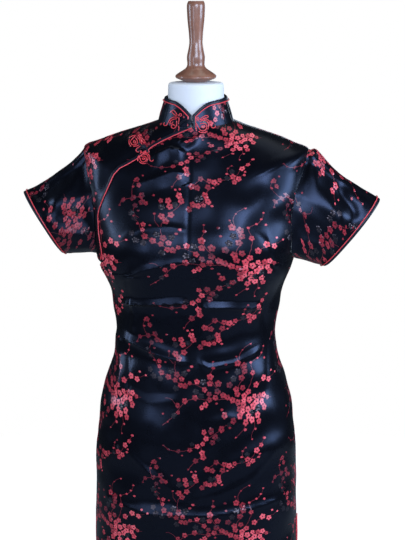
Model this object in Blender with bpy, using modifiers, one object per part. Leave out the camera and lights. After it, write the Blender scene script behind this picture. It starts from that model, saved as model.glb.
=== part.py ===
"""A knee-length cheongsam of plum-blossom brocade on a limbless dress form with a turned wooden stand.

Metres, +Z up. The dress faces -Y, so the wearer's left is +X. The origin is the middle of the stand's underside.
"""

import math
from collections import namedtuple

import bmesh
import bpy
import numpy as np
from mathutils import Vector
from mathutils.bvhtree import BVHTree

# Cloth and trim
WALL = 0.0012
COLLAR_WALL = 0.0015
SEAM_GAP = 0.0003
NECK_SEAM_GAP = 0.0006
SLEEVE_SEAM_GAP = 0.0008
BINDING_WIDTH = 0.006
PIPING_RADIUS = 0.001
FROG_CORD_RADIUS = 0.0012
LIFT = 0.0004
UNDERLAP = 0.016
UNDERLAP_DEPTH = WALL + 0.0007
UNDERARM_DEPTH = 0.0028
SLIT_OPENING = 0.005
SLIT_STEP = 0.03

# Dress form and stand
FORM_CLEARANCE = 0.0062
SHOULDER_CLEARANCE = WALL + 0.0008
FORM_FOOT_LEVEL = 3.5
NECK_RADIUS = 0.0487
NECK_TOP = 1.479
BASE_HEIGHT = 0.040
POLE_RADIUS = 0.015

# The cloth's outer surface, one row for each ring from the hem up. Above the underarm a ring leans: its sides are
# at side_z, its front at front_z and its back at back_z. Squareness 2 is an ellipse, and more is boxier.
Ring = namedtuple("Ring", "name side_z front_z back_z half_width front back squareness")
RINGS = (
    Ring("hem", 0.455, 0.455, 0.455, 0.179, 0.102, 0.119, 2.5),
    Ring("knee", 0.540, 0.540, 0.540, 0.183, 0.106, 0.124, 2.5),
    Ring("low_thigh", 0.620, 0.620, 0.620, 0.186, 0.110, 0.130, 2.5),
    Ring("slit_top", 0.690, 0.690, 0.690, 0.186, 0.113, 0.135, 2.4),
    Ring("thigh", 0.765, 0.765, 0.765, 0.184, 0.115, 0.139, 2.4),
    Ring("hip", 0.835, 0.835, 0.835, 0.182, 0.115, 0.139, 2.4),
    Ring("high_hip", 0.871, 0.871, 0.871, 0.178, 0.114, 0.136, 2.3),
    Ring("belly", 0.907, 0.907, 0.907, 0.173, 0.112, 0.129, 2.3),
    Ring("low_waist", 0.943, 0.943, 0.943, 0.163, 0.109, 0.118, 2.3),
    Ring("under_waist", 0.979, 0.979, 0.979, 0.153, 0.106, 0.106, 2.3),
    Ring("near_waist", 1.006, 1.006, 1.006, 0.147, 0.103, 0.097, 2.2),
    Ring("waist", 1.040, 1.040, 1.040, 0.143, 0.101, 0.091, 2.2),
    Ring("over_waist", 1.083, 1.083, 1.083, 0.149, 0.104, 0.092, 2.2),
    Ring("ribs", 1.117, 1.117, 1.117, 0.156, 0.112, 0.097, 2.3),
    Ring("under_bust", 1.152, 1.152, 1.152, 0.169, 0.121, 0.103, 2.4),
    Ring("underarm", 1.173, 1.173, 1.173, 0.175, 0.125, 0.106, 2.4),
    Ring("bust", 1.205, 1.197, 1.205, 0.181, 0.126, 0.109, 2.4),
    Ring("chest", 1.240, 1.223, 1.240, 0.186, 0.122, 0.110, 2.4),
    Ring("high_chest", 1.275, 1.248, 1.270, 0.190, 0.115, 0.109, 2.4),
    Ring("armhole", 1.310, 1.273, 1.300, 0.194, 0.107, 0.105, 2.4),
    Ring("under_shoulder", 1.341, 1.295, 1.325, 0.197, 0.099, 0.099, 2.3),
    Ring("shoulder_tip", 1.365, 1.314, 1.345, 0.199, 0.092, 0.093, 2.2),
    Ring("outer_shoulder", 1.376, 1.332, 1.360, 0.174, 0.085, 0.086, 2.2),
    Ring("mid_shoulder", 1.386, 1.349, 1.375, 0.148, 0.078, 0.079, 2.2),
    Ring("inner_shoulder", 1.395, 1.367, 1.391, 0.121, 0.071, 0.073, 2.1),
    Ring("neck_root", 1.403, 1.386, 1.408, 0.094, 0.065, 0.067, 2.1),
    Ring("neckline", 1.412, 1.405, 1.424, 0.067, 0.060, 0.060, 2.0),
)
LEVEL = {ring.name: index for index, ring in enumerate(RINGS)}
TOP_LEVEL = LEVEL["neckline"]
SIZES = np.array([ring[1:] for ring in RINGS])

# Rounded swellings of the cloth, as places in the front view, with their half lengths and how far they stand out.
Swell = namedtuple("Swell", "name x z half_wide half_high rise")
FRONT_SWELLS = (
    Swell("left_bust", 0.083, 1.195, 0.058, 0.052, 0.010),
    Swell("right_bust", -0.083, 1.195, 0.058, 0.052, 0.010),
)

# The largest drag folds, as ridges between two places in the front view. Sag bows the line downwards.
Fold = namedtuple("Fold", "name x_1 z_1 x_2 z_2 sag half_width rise")
FRONT_FOLDS = (
    Fold("waist_right", -0.130, 1.034, -0.004, 0.998, 0.003, 0.014, 0.0030),
    Fold("waist_left", 0.016, 1.006, 0.124, 1.029, 0.003, 0.014, 0.0028),
    Fold("under_bust_right", -0.124, 1.139, 0.002, 1.184, -0.006, 0.013, 0.0022),
    Fold("thigh_right", -0.116, 0.835, -0.008, 0.752, 0.005, 0.015, 0.0032),
    Fold("thigh_left", 0.158, 0.846, 0.002, 0.743, 0.020, 0.015, 0.0030),
    Fold("lap", -0.162, 0.737, 0.165, 0.744, 0.022, 0.014, 0.0034),
)

# Edges drawn on the front view as x at each height. The front panel ends at the placket line on the wearer's right.
EdgePoint = namedtuple("EdgePoint", "z x")
PLACKET = (
    EdgePoint(1.152, -0.170),
    EdgePoint(1.165, -0.160),
    EdgePoint(1.186, -0.155),
    EdgePoint(1.222, -0.161),
    EdgePoint(1.250, -0.162),
    EdgePoint(1.264, -0.159),
    EdgePoint(1.287, -0.150),
    EdgePoint(1.306, -0.142),
    EdgePoint(1.324, -0.134),
    EdgePoint(1.335, -0.124),
    EdgePoint(1.342, -0.111),
    EdgePoint(1.351, -0.095),
    EdgePoint(1.362, -0.081),
    EdgePoint(1.371, -0.069),
    EdgePoint(1.382, -0.049),
    EdgePoint(1.395, -0.022),
    EdgePoint(1.405, 0.0),
)
FRONT_ARMHOLE = (
    EdgePoint(1.173, 0.1750),
    EdgePoint(1.190, 0.1705),
    EdgePoint(1.219, 0.1715),
    EdgePoint(1.244, 0.1730),
    EdgePoint(1.266, 0.1745),
    EdgePoint(1.292, 0.1785),
    EdgePoint(1.318, 0.1880),
    EdgePoint(1.340, 0.1940),
    EdgePoint(1.365, 0.1990),
)
BACK_ARMHOLE = (
    EdgePoint(1.173, 0.1750),
    EdgePoint(1.203, 0.1740),
    EdgePoint(1.237, 0.1780),
    EdgePoint(1.270, 0.1830),
    EdgePoint(1.300, 0.1880),
    EdgePoint(1.335, 0.1930),
    EdgePoint(1.365, 0.1990),
)

# Finished sleeve edges, each an oval through a top and a bottom place in the front view. Front out is how much
# further along the sleeve the oval's front lies than its middle. The sleeve's top line hangs by the top sag below a
# straight one, and stands above it by the head rise next to the armhole.
Cuff = namedtuple("Cuff", "side top_x top_z bottom_x bottom_z centre_y half_depth front_out top_sag head_rise")
CUFFS = {
    "right": Cuff(-1, 0.312, 1.280, 0.243, 1.169, 0.000, 0.045, -0.007, 0.0110, 0.0),
    "left": Cuff(1, 0.324, 1.279, 0.229, 1.158, -0.002, 0.036, 0.005, 0.0030, 0.0110),
}
SLEEVE_SHARES = (0.0, 0.1, 0.22, 0.4, 0.6, 0.8, 1.0)

COLLAR_HEIGHT = 0.0415
COLLAR_TOP_HALF_WIDTH = 0.0545
COLLAR_TOP_FRONT = 0.0535
COLLAR_TOP_BACK = 0.054
COLLAR_CORNER_LENGTH = 0.043
COLLAR_CORNER_HEIGHT = 0.021
COLLAR_PARTING = 0.0006

# Turned profiles, from the top down, as height over the piece's foot and radius.
Turning = namedtuple("Turning", "height radius")
FINIAL = (
    Turning(0.1390, 0.0000),
    Turning(0.1390, 0.0130),
    Turning(0.1367, 0.0155),
    Turning(0.1300, 0.0161),
    Turning(0.1080, 0.0150),
    Turning(0.0845, 0.0125),
    Turning(0.0674, 0.0113),
    Turning(0.0560, 0.0133),
    Turning(0.0433, 0.0162),
    Turning(0.0350, 0.0158),
    Turning(0.0295, 0.0135),
    Turning(0.0245, 0.0162),
    Turning(0.0165, 0.0290),
    Turning(0.0115, 0.0366),
    Turning(0.0087, 0.0375),
    Turning(0.0062, 0.0355),
    Turning(0.0030, 0.0240),
    Turning(0.0000, 0.0190),
    Turning(0.0000, 0.0000),
)
BASE = (
    Turning(BASE_HEIGHT, 0.0000),
    Turning(BASE_HEIGHT, 0.0300),
    Turning(0.0340, 0.0400),
    Turning(0.0300, 0.0900),
    Turning(0.0240, 0.1500),
    Turning(0.0200, 0.1800),
    Turning(0.0150, 0.1880),
    Turning(0.0060, 0.1880),
    Turning(0.0000, 0.1840),
    Turning(0.0000, 0.0000),
)

# Frog closures: where the middle of each coiled flower lies in the front view, and how it is turned.
Frog = namedtuple("Frog", "name x z turned_deg mirrored")
FROGS = (
    Frog("frog_collar_right", -0.0350, 1.4120, 0, True),
    Frog("frog_collar_left", 0.0165, 1.4105, 0, False),
    Frog("frog_chest_upper", -0.0995, 1.3805, 40, False),
    Frog("frog_chest_lower", -0.0805, 1.3545, -55, False),
)
FLOWER_TURNS = 2.5
FLOWER_CORE = 0.0018
FLOWER_PITCH = 0.0029

# A frog's leaf loop and tail, as places in the drawing of the frog with its flower's middle at 0, 0.
Place = namedtuple("Place", "x z")
LEAF = (
    Place(-0.0076, 0.0114),
    Place(-0.0035, 0.0160),
    Place(0.0011, 0.0192),
    Place(0.0068, 0.0208),
    Place(0.0100, 0.0192),
    Place(0.0086, 0.0162),
    Place(0.0035, 0.0140),
    Place(0.0010, 0.0118),
    Place(0.0045, 0.0109),
    Place(0.0098, 0.0090),
    Place(0.0130, 0.0045),
    Place(0.0158, -0.0010),
    Place(0.0190, -0.0042),
    Place(0.0224, -0.0030),
    Place(0.0226, 0.0008),
)
Knot = namedtuple("Knot", "name x z")
KNOTS = (
    Knot("collar", -0.0040, 1.4145),
    Knot("chest", -0.0840, 1.3705),
)
KNOT_RADIUS = 0.0045


def clear_scene():
    for thing in list(bpy.data.objects):
        bpy.data.objects.remove(thing)


def new_collection(name):
    collection = bpy.data.collections.new(name)
    bpy.context.scene.collection.children.link(collection)
    return collection


def material(name, colour, roughness, metallic=0.0):
    made = bpy.data.materials.new(name)
    made.use_nodes = True
    shader = made.node_tree.nodes["Principled BSDF"]
    shader.inputs["Base Color"].default_value = (*colour, 1.0)
    shader.inputs["Roughness"].default_value = roughness
    shader.inputs["Metallic"].default_value = metallic
    made.diffuse_color = (*colour, 1.0)
    return made


# The cloth's surface


def ring_sizes(level):
    """The ring columns at a level, a ring's number or between two, on a smooth curve through the table."""
    low = min(int(level), TOP_LEVEL - 1)
    part = level - low
    before, start, end, after = (SIZES[min(max(low + step, 0), TOP_LEVEL)] for step in (-1, 0, 1, 2))
    straight = end - before
    bent = 2 * before - 5 * start + 4 * end - after
    return start + 0.5 * part * (straight + part * (bent + part * (3 * start - before - 3 * end + after)))


def bare_body(level, turn):
    """A point of the surface without folds. Turn is the angle in radians from the wearer's left, by way of the front."""
    side_z, front_z, back_z, half_width, front, back, squareness = ring_sizes(level)
    across, along = math.cos(turn), math.sin(turn)
    reach = (abs(across) ** squareness + abs(along) ** squareness) ** (-1 / squareness)
    depth, end_z = (front, front_z) if along > 0 else (back, back_z)
    return np.array(
        (half_width * reach * across, -depth * reach * along, side_z + (end_z - side_z) * along * along)
    )


def body_normal(level, turn):
    step = 0.02
    around = bare_body(level, turn + step) - bare_body(level, turn - step)
    upward = bare_body(min(level + step, TOP_LEVEL), turn) - bare_body(level - step, turn)
    normal = np.cross(upward, around)
    return normal / np.linalg.norm(normal)


def fold_rise(fold, x, z):
    """How far a fold lifts the cloth at a place in the front view."""
    run, climb = fold.x_2 - fold.x_1, fold.z_2 - fold.z_1
    length = math.hypot(run, climb)
    share = ((x - fold.x_1) * run + (z - fold.z_1) * climb) / length**2
    if not 0 < share < 1:
        return 0.0
    bow = 4 * fold.sag * share * (1 - share)
    aside = ((z - fold.z_1) * run - (x - fold.x_1) * climb) / length + bow
    return fold.rise * math.sin(math.pi * share) ** 0.7 * math.exp(-((aside / fold.half_width) ** 2))


def swell_rise(x, z):
    return sum(
        swell.rise * math.exp(-(((x - swell.x) / swell.half_wide) ** 2) - ((z - swell.z) / swell.half_high) ** 2)
        for swell in FRONT_SWELLS
    )


def front_relief(x, z):
    """Swellings and folds of the front together."""
    return swell_rise(x, z) + sum(fold_rise(fold, x, z) for fold in FRONT_FOLDS)


def cloth(level, turn, out=0.0):
    """A point of the cloth's outer surface, moved out by a distance."""
    point = bare_body(level, turn)
    relief = front_relief(point[0], point[2]) if math.sin(turn) > 0 else 0.0
    return point + body_normal(level, turn) * (relief + out)


def arc_turn(level, turn, distance):
    """The change of turn that moves a point this far round its ring."""
    step = 0.01
    return distance * 2 * step / np.linalg.norm(bare_body(level, turn + step) - bare_body(level, turn - step))


def edge_x(edge, z):
    return np.interp(z, [point.z for point in edge], [point.x for point in edge])


def turn_at_edge(level, edge, middle, side):
    """The turn between the middle of a panel and its side where the ring crosses an edge line."""
    outside = side
    inside = middle
    sign = math.copysign(1, math.cos(side))
    for _ in range(40):
        halfway = (inside + outside) / 2
        point = bare_body(level, halfway)
        if sign * (point[0] - edge_x(edge, point[2])) < 0:
            inside = halfway
        else:
            outside = halfway
    return outside


def mirrored_edge(edge):
    return tuple(EdgePoint(point.z, -point.x) for point in edge)


def armhole_turn(level, edge, middle, side):
    """Where a panel ends at its side: at the side or shoulder seam, or at the armhole between them."""
    if LEVEL["underarm"] < level < LEVEL["shoulder_tip"]:
        wanted = edge if math.cos(side) > 0 else mirrored_edge(edge)
        return turn_at_edge(level, wanted, middle, side)
    return side


def slit_width(level):
    """How far a panel's edge stands back from the side seam's line."""
    below = max(0.0, 1 - level / LEVEL["slit_top"])
    return SEAM_GAP / 2 + SLIT_OPENING * below


FRONT, LEFT, RIGHT, BACK = math.pi / 2, 0.0, math.pi, -math.pi / 2
RIGHT_FROM_BACK = -math.pi


def front_limits(level):
    """The turns of the front panel's edges, the wearer's left first."""
    left = armhole_turn(level, FRONT_ARMHOLE, FRONT, LEFT)
    right = turn_at_edge(level, PLACKET, FRONT, RIGHT) if level > LEVEL["under_bust"] else RIGHT
    trimmed = trim_width(level)
    return left + arc_turn(level, left, trimmed), right - arc_turn(level, right, placket_trim(level))


def trim_width(level):
    """What the slit's opening and its binding take off a panel's side."""
    binding = BINDING_WIDTH + SEAM_GAP if level <= LEVEL["slit_top"] else 0.0
    return slit_width(level) + binding


def placket_trim(level):
    return trim_width(level) if level <= LEVEL["under_bust"] else SEAM_GAP / 2


def back_limits(level):
    left = armhole_turn(level, BACK_ARMHOLE, BACK, LEFT)
    right = armhole_turn(level, BACK_ARMHOLE, BACK, RIGHT_FROM_BACK)
    trimmed = trim_width(level)
    return right + arc_turn(level, right, trimmed), left - arc_turn(level, left, trimmed)


def underlap_limits(level):
    """The wearer's right shoulder piece, from under the placket to the armhole or shoulder seam."""
    placket = turn_at_edge(level, PLACKET, FRONT, RIGHT)
    side = armhole_turn(level, FRONT_ARMHOLE, FRONT, RIGHT)
    return placket - arc_turn(level, placket, UNDERLAP), side - arc_turn(level, side, SEAM_GAP / 2)


def underlap_sink(level, turn):
    """How far the shoulder piece lies under the front's surface: all of it at the placket and the side seam's end."""
    placket = turn_at_edge(level, PLACKET, FRONT, RIGHT)
    beyond = np.linalg.norm(bare_body(level, turn) - bare_body(level, placket))
    fade = 1 - min(1.0, max(0.0, beyond - 0.008) / 0.022) if turn > placket else 1.0
    low = 1 - min(1.0, max(0.0, level - LEVEL["underarm"]) / 0.6)
    return UNDERLAP_DEPTH * max(fade * fade * (3 - 2 * fade), low) + UNDERARM_DEPTH * low


# Making meshes


def add_object(name, mesh, collection, finish):
    thing = bpy.data.objects.new(name, mesh)
    mesh.materials.append(finish)
    collection.objects.link(thing)
    return thing


def wall(name, outer, inner, collection, finish, wrap=False):
    """A closed wall between two grids of points, rows by columns. Wrap joins the last column to the first."""
    rows, columns = len(outer), len(outer[0])
    last = columns if wrap else columns - 1
    mesh = bmesh.new()
    layers = [[[mesh.verts.new(point) for point in row] for row in grid] for grid in (outer, inner)]
    for layer in layers:
        for row, above in zip(layer, layer[1:]):
            for column in range(last):
                beside = (column + 1) % columns
                mesh.faces.new((row[column], row[beside], above[beside], above[column]))
    for edge in (0, rows - 1):
        for column in range(last):
            beside = (column + 1) % columns
            mesh.faces.new(
                (layers[0][edge][column], layers[0][edge][beside], layers[1][edge][beside], layers[1][edge][column])
            )
    if not wrap:
        for edge in (0, columns - 1):
            for row in range(rows - 1):
                mesh.faces.new(
                    (layers[0][row][edge], layers[0][row + 1][edge], layers[1][row + 1][edge], layers[1][row][edge])
                )
    return finished_mesh(name, mesh, collection, finish)


def loft(name, rings, collection, finish):
    """A closed body through rings of points, with flat ends."""
    mesh = bmesh.new()
    lines = [[mesh.verts.new(point) for point in ring] for ring in rings]
    for line, above in zip(lines, lines[1:]):
        for index, corner in enumerate(line):
            beside = (index + 1) % len(line)
            mesh.faces.new((corner, line[beside], above[beside], above[index]))
    mesh.faces.new(lines[0])
    mesh.faces.new(lines[-1])
    return finished_mesh(name, mesh, collection, finish)


def finished_mesh(name, mesh, collection, finish):
    bmesh.ops.recalc_face_normals(mesh, faces=mesh.faces)
    data = bpy.data.meshes.new(name)
    mesh.to_mesh(data)
    mesh.free()
    data.shade_smooth()
    data.set_sharp_from_angle(angle=math.radians(35))
    return add_object(name, data, collection, finish)


def panel(name, levels, limits, columns, collection, finish, sink=None):
    """A cloth panel: for each level, points between its two edges, with the wall's inside behind them."""
    outer, inner = [], []
    for level in levels:
        turns = np.linspace(*limits(level), columns + 1)
        depths = [sink(level, turn) if sink else 0.0 for turn in turns]
        outer.append([cloth(level, turn, -depth) for turn, depth in zip(turns, depths)])
        inner.append([cloth(level, turn, -depth - WALL) for turn, depth in zip(turns, depths)])
    return wall(name, outer, inner, collection, finish)


def strip(name, line, sideways, normals, widths, collection, finish, wrap=False):
    """A flat band of cloth beside a line of points."""
    start = [point + side * SEAM_GAP for point, side in zip(line, sideways)]
    end = [point + side * (SEAM_GAP + width) for point, side, width in zip(line, sideways, widths)]
    outer = list(zip(start, end))
    inner = [[point - normal * WALL for point in pair] for pair, normal in zip(outer, normals)]
    if wrap:
        outer, inner = (np.array(grid).transpose(1, 0, 2) for grid in (outer, inner))
    return wall(name, outer, inner, collection, finish, wrap)


def cord(name, points, radius, collection, finish, cyclic=False):
    """A round cord on a list of points, with six sides."""
    data = bpy.data.curves.new(name, "CURVE")
    data.dimensions = "3D"
    data.bevel_depth = radius
    data.bevel_resolution = 1
    data.use_fill_caps = True
    spline = data.splines.new("POLY")
    spline.points.add(len(points) - 1)
    for place, point in zip(spline.points, points):
        place.co = (*point, 1.0)
    spline.use_cyclic_u = cyclic
    return add_object(name, data, collection, finish)


def turned(name, profile, foot, steps, collection, finish):
    """A piece turned on a lathe round the Z axis."""
    data = bpy.data.meshes.new(name)
    corners = [(row.radius, 0.0, foot + row.height) for row in profile]
    data.from_pydata(corners, [(i, i + 1) for i in range(len(corners) - 1)], [])
    thing = add_object(name, data, collection, finish)
    screw = thing.modifiers.new("Turn", "SCREW")
    screw.steps = screw.render_steps = steps
    screw.use_merge_vertices = True
    screw.merge_threshold = 0.00005
    return thing


def unit(vector):
    return vector / np.linalg.norm(vector)


def along_line(points, cyclic=False):
    """The direction of a line at each of its points."""
    points = np.asarray(points)
    if cyclic:
        ahead, behind = np.roll(points, -1, axis=0), np.roll(points, 1, axis=0)
    else:
        ahead, behind = np.vstack((points[1:], points[-1:])), np.vstack((points[:1], points[:-1]))
    return [unit(vector) for vector in ahead - behind]


# The garment


def panel_levels(start, stop, halved_from, halved_to):
    """Ring numbers from start to stop, with the halves too between two of them."""
    whole = list(range(start, stop + 1))
    return sorted(set(whole + [level + 0.5 for level in range(halved_from, halved_to)]))


def edge_line(levels, limits, which, out=0.0):
    """The points of a panel's first or last column, and the cloth's normals there."""
    turns = [limits(level)[which] for level in levels]
    line = [cloth(level, turn, out) for level, turn in zip(levels, turns)]
    return line, [body_normal(level, turn) for level, turn in zip(levels, turns)]


def neck_room(point, side):
    """How wide a band beside an edge can be before it meets the collar."""
    ring = RINGS[TOP_LEVEL]
    height = ring.front_z + (ring.side_z - ring.front_z) * (point[0] / ring.half_width) ** 2
    return (height - 0.0008 - point[2]) / max(side[2], 0.2)


def edge_trim(name, levels, limits, which, collection, binding_finish, piping_finish):
    """A binding beyond a panel's edge, and a piping cord over the join."""
    line, normals = edge_line(levels, limits, which)
    outward = -1 if which == 0 else 1
    sideways = [
        unit(np.cross(normal, direction)) * outward for normal, direction in zip(normals, along_line(line))
    ]
    across = cloth(levels[0], limits(levels[0])[which] + outward * 0.01) - line[0]
    if np.dot(across, sideways[0]) < 0:
        sideways = [-side for side in sideways]
    widths = [min(BINDING_WIDTH, neck_room(point, side)) for point, side in zip(line, sideways)]
    kept = sum(width > 0.0015 for width in widths)
    binding = [part[:kept] for part in (line, sideways, normals, widths)]
    strip(f"{name}_binding", *binding, collection, binding_finish)
    rise = PIPING_RADIUS + LIFT
    points = [point + normal * rise for point, normal in zip(line, normals)]
    cord(f"{name}_piping", points, PIPING_RADIUS, collection, piping_finish)


def armhole_ring(side):
    """The armhole's points: from the underarm up the front edge, over the shoulder and down the back edge."""
    seam = LEFT if side > 0 else RIGHT
    seam_from_back = LEFT if side > 0 else RIGHT_FROM_BACK
    levels = panel_levels(LEVEL["underarm"], LEVEL["shoulder_tip"], LEVEL["underarm"], LEVEL["shoulder_tip"])
    front = [cloth(level, armhole_turn(level, FRONT_ARMHOLE, FRONT, seam)) for level in levels]
    back = [cloth(level, armhole_turn(level, BACK_ARMHOLE, BACK, seam_from_back)) for level in levels]
    return front, back[::-1]


def half_shares(points):
    """How far along half of the armhole each point lies, from 0 to 1."""
    lengths = np.linalg.norm(np.diff(points, axis=0), axis=1)
    return np.concatenate(([0.0], np.cumsum(lengths))) / lengths.sum()


def cuff_point(cuff, angle):
    """A place on the finished sleeve edge. Angle 0 is its bottom, and a quarter turn is its front."""
    top = np.array((cuff.side * cuff.top_x, cuff.centre_y, cuff.top_z))
    bottom = np.array((cuff.side * cuff.bottom_x, cuff.centre_y, cuff.bottom_z))
    middle, half = (top + bottom) / 2, (top - bottom) / 2
    outward = unit(np.array((cuff.side * half[2], 0.0, -abs(half[0]))))
    front = outward * cuff.front_out - np.array((0.0, cuff.half_depth, 0.0))
    return middle - half * math.cos(angle) + front * math.sin(angle)


def sleeve_grid(cuff):
    """Rows of points from the armhole to the finished edge of a sleeve, and each point's angle round it."""
    front, back = armhole_ring(cuff.side)
    root = np.array(front[:-1] + back[:-1])
    angles = np.concatenate((half_shares(front)[:-1], 1 + half_shares(back)[:-1])) * math.pi
    edge = np.array([cuff_point(cuff, angle) for angle in angles])
    upper = ((1 - np.cos(angles)) / 2) ** 3
    rows = []
    for share in SLEEVE_SHARES:
        row = root + (edge - root) * share
        head = min(1.0, share / 0.1) * math.exp(-((share / 0.22) ** 2))
        row[:, 2] += upper * (cuff.head_rise * head - cuff.top_sag * math.sin(math.pi * share**0.6))
        rows.append(row)
    grid = np.array(rows)
    grid[0] += (grid[1] - grid[0]) / np.linalg.norm(grid[1] - grid[0], axis=1)[:, None] * SLEEVE_SEAM_GAP
    return grid


def grid_normals(grid, outward):
    """Normals of a grid that wraps round, facing away from a middle line."""
    around = np.roll(grid, -1, axis=1) - np.roll(grid, 1, axis=1)
    along = np.gradient(grid, axis=0)
    normals = np.cross(around, along)
    normals /= np.linalg.norm(normals, axis=2)[:, :, None]
    middles = grid.mean(axis=1, keepdims=True)
    return normals * np.sign(((grid - middles) * normals).sum(axis=2).mean() * outward)


def build_sleeve(name, cuff, collection, cloth_finish, piping_finish, binding_finish):
    grid = sleeve_grid(cuff)
    normals = grid_normals(grid, 1)
    edge, before = grid[-1].copy(), grid[-2].copy()
    direction = (edge - before) / np.linalg.norm(edge - before, axis=1)[:, None]
    grid[-1] = edge - direction * (BINDING_WIDTH + SEAM_GAP)
    wall(f"sleeve_{name}", grid, grid - normals * WALL, collection, cloth_finish, wrap=True)
    seam, facing = grid[-1], normals[-1]
    widths = [BINDING_WIDTH] * len(seam)
    strip(f"cuff_{name}_binding", seam, direction, facing, widths, collection, binding_finish, wrap=True)
    cord(
        f"cuff_{name}_piping", seam + facing * (PIPING_RADIUS + LIFT), PIPING_RADIUS, collection, piping_finish, True
    )


# The collar. Along is the distance round the neckline from the middle of the front, towards the wearer's left.


def neckline_lengths():
    """Turns round the neckline from the front by way of the wearer's left, and their distances along it."""
    turns = FRONT - np.linspace(0, 2 * math.pi, 721)
    points = np.array([bare_body(TOP_LEVEL, turn) for turn in turns])
    steps = np.linalg.norm(np.diff(points, axis=0), axis=1)
    return turns, np.concatenate(([0.0], np.cumsum(steps)))


NECK_TURNS, NECK_ALONG = neckline_lengths()
NECK_LENGTH = NECK_ALONG[-1]


def collar_point(along, height, out=0.0):
    """A place on the collar's outer face."""
    turn = np.interp(along, NECK_ALONG, NECK_TURNS)
    across, ahead = math.cos(turn), math.sin(turn)
    foot = bare_body(TOP_LEVEL, turn) + np.array((0, 0, NECK_SEAM_GAP))
    depth = COLLAR_TOP_FRONT if ahead > 0 else COLLAR_TOP_BACK
    top = np.array((COLLAR_TOP_HALF_WIDTH * across, -depth * ahead, foot[2] + COLLAR_HEIGHT))
    outward = unit(np.array((across, -ahead, 0.25)))
    return foot + (top - foot) * height / COLLAR_HEIGHT + outward * out


def collar_edge():
    """The collar's upper edge as (along, height), from the front on the wearer's left round to the right."""
    corner = [
        (
            COLLAR_PARTING + COLLAR_CORNER_LENGTH * share,
            COLLAR_HEIGHT - COLLAR_CORNER_HEIGHT * (1 - share) ** 2,
        )
        for share in (0.0, 0.12, 0.28, 0.46, 0.70, 1.0)
    ]
    corner.insert(0, (COLLAR_PARTING, 0.0))
    corner.insert(1, (COLLAR_PARTING, (COLLAR_HEIGHT - COLLAR_CORNER_HEIGHT) / 2))
    around = np.linspace(corner[-1][0], NECK_LENGTH - corner[-1][0], 18)[1:-1]
    level = [(along, COLLAR_HEIGHT) for along in around]
    return np.array(corner + level + [(NECK_LENGTH - along, height) for along, height in corner[::-1]])


def inset_edge(edge, distance):
    """An edge line of (along, height) moved into the collar."""
    ahead, behind = np.vstack((edge[1:], edge[-1:])), np.vstack((edge[:1], edge[:-1]))
    direction = ahead - behind
    direction /= np.linalg.norm(direction, axis=1)[:, None]
    moved = edge + np.column_stack((direction[:, 1], -direction[:, 0])) * distance
    moved[0, 1] = moved[-1, 1] = 0.0
    return moved


def build_collar(collection, cloth_finish, piping_finish, binding_finish):
    edge = collar_edge()
    inner_edge = inset_edge(edge, BINDING_WIDTH)
    join = inset_edge(edge, BINDING_WIDTH + SEAM_GAP)
    binding = [[collar_point(*outer), collar_point(*inner)] for outer, inner in zip(edge, inner_edge)]
    behind = [
        [collar_point(*outer, -COLLAR_WALL), collar_point(*inner, -COLLAR_WALL)]
        for outer, inner in zip(edge, inner_edge)
    ]
    wall("collar_binding", binding, behind, collection, binding_finish)
    columns = join[1:-1]
    rows = np.linspace(0, 1, 4)
    faces = [
        [[collar_point(along, height * share, out) for share in rows] for along, height in columns]
        for out in (0.0, -COLLAR_WALL)
    ]
    wall("collar", faces[0], faces[1], collection, cloth_finish)
    rise = PIPING_RADIUS + LIFT
    points = [collar_point(along, height, rise) for along, height in join]
    points[0] = collar_point(join[0][0], PIPING_RADIUS * 2, rise)
    points[-1] = collar_point(join[-1][0], PIPING_RADIUS * 2, rise)
    cord("collar_piping", points, PIPING_RADIUS, collection, piping_finish)


# The frog closures lie on the cloth as it has been built


def surface_tree(things):
    """A search tree over the faces of finished objects."""
    graph = bpy.context.evaluated_depsgraph_get()
    corners, faces = [], []
    for thing in things:
        mesh = thing.evaluated_get(graph).to_mesh()
        start = len(corners)
        corners += [vertex.co.copy() for vertex in mesh.vertices]
        faces += [[start + index for index in face.vertices] for face in mesh.polygons]
    return BVHTree.FromPolygons(corners, faces)


def drawing_plane(tree, x, z):
    """Where a drawing is held to the cloth at a spot in the front view: its middle, right, up and facing."""
    around = [(x + right, z + up) for right in (-0.008, 0.0, 0.008) for up in (-0.008, 0.0, 0.008)]
    hits = [tree.ray_cast(Vector((side, -0.3, height)), Vector((0, 1, 0))) for side, height in around]
    facing = unit(sum(np.array(hit[1]) for hit in hits if hit[0] is not None))
    depth = min(hit[0].y for hit in hits if hit[0] is not None)
    right = unit(np.cross((0, 0, 1), facing))
    return np.array((x, depth, z)), right, np.cross(facing, right), facing


def laid_on_cloth(tree, plane, drawing, radius):
    """The points of a flat drawing pressed to the cloth, so that a ball of this radius at each just clears it."""
    middle, right, up, facing = plane
    far = 0.05
    clear = radius + LIFT
    offsets = np.linspace(-clear, clear, 1 + 2 * math.ceil(clear / (0.6 * PIPING_RADIUS)))
    under_ball = [
        (side, height, math.sqrt(clear**2 - side**2 - height**2))
        for side in offsets
        for height in offsets
        if math.hypot(side, height) < clear
    ]
    points = []
    rise = 0.0
    for x, z in drawing:
        origin = middle + right * x + up * z + facing * far
        rises = []
        for side, height, ball in under_ball:
            start = Vector(origin + right * side + up * height)
            hit = tree.ray_cast(start, Vector(-facing), 2 * far)[3]
            if hit is not None:
                rises.append(far - hit + ball)
        rise = max(rises, default=rise)
        points.append(origin + facing * (rise - far))
    return points


def flower_drawing():
    """The spiral of a frog's flower, flattened a little into petals."""
    angles = np.linspace(0, FLOWER_TURNS * 2 * math.pi, int(12 * FLOWER_TURNS) + 1)
    radii = FLOWER_CORE + FLOWER_PITCH * angles / (2 * math.pi)
    return np.column_stack((radii * np.cos(angles), radii * np.sin(angles)))


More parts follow.
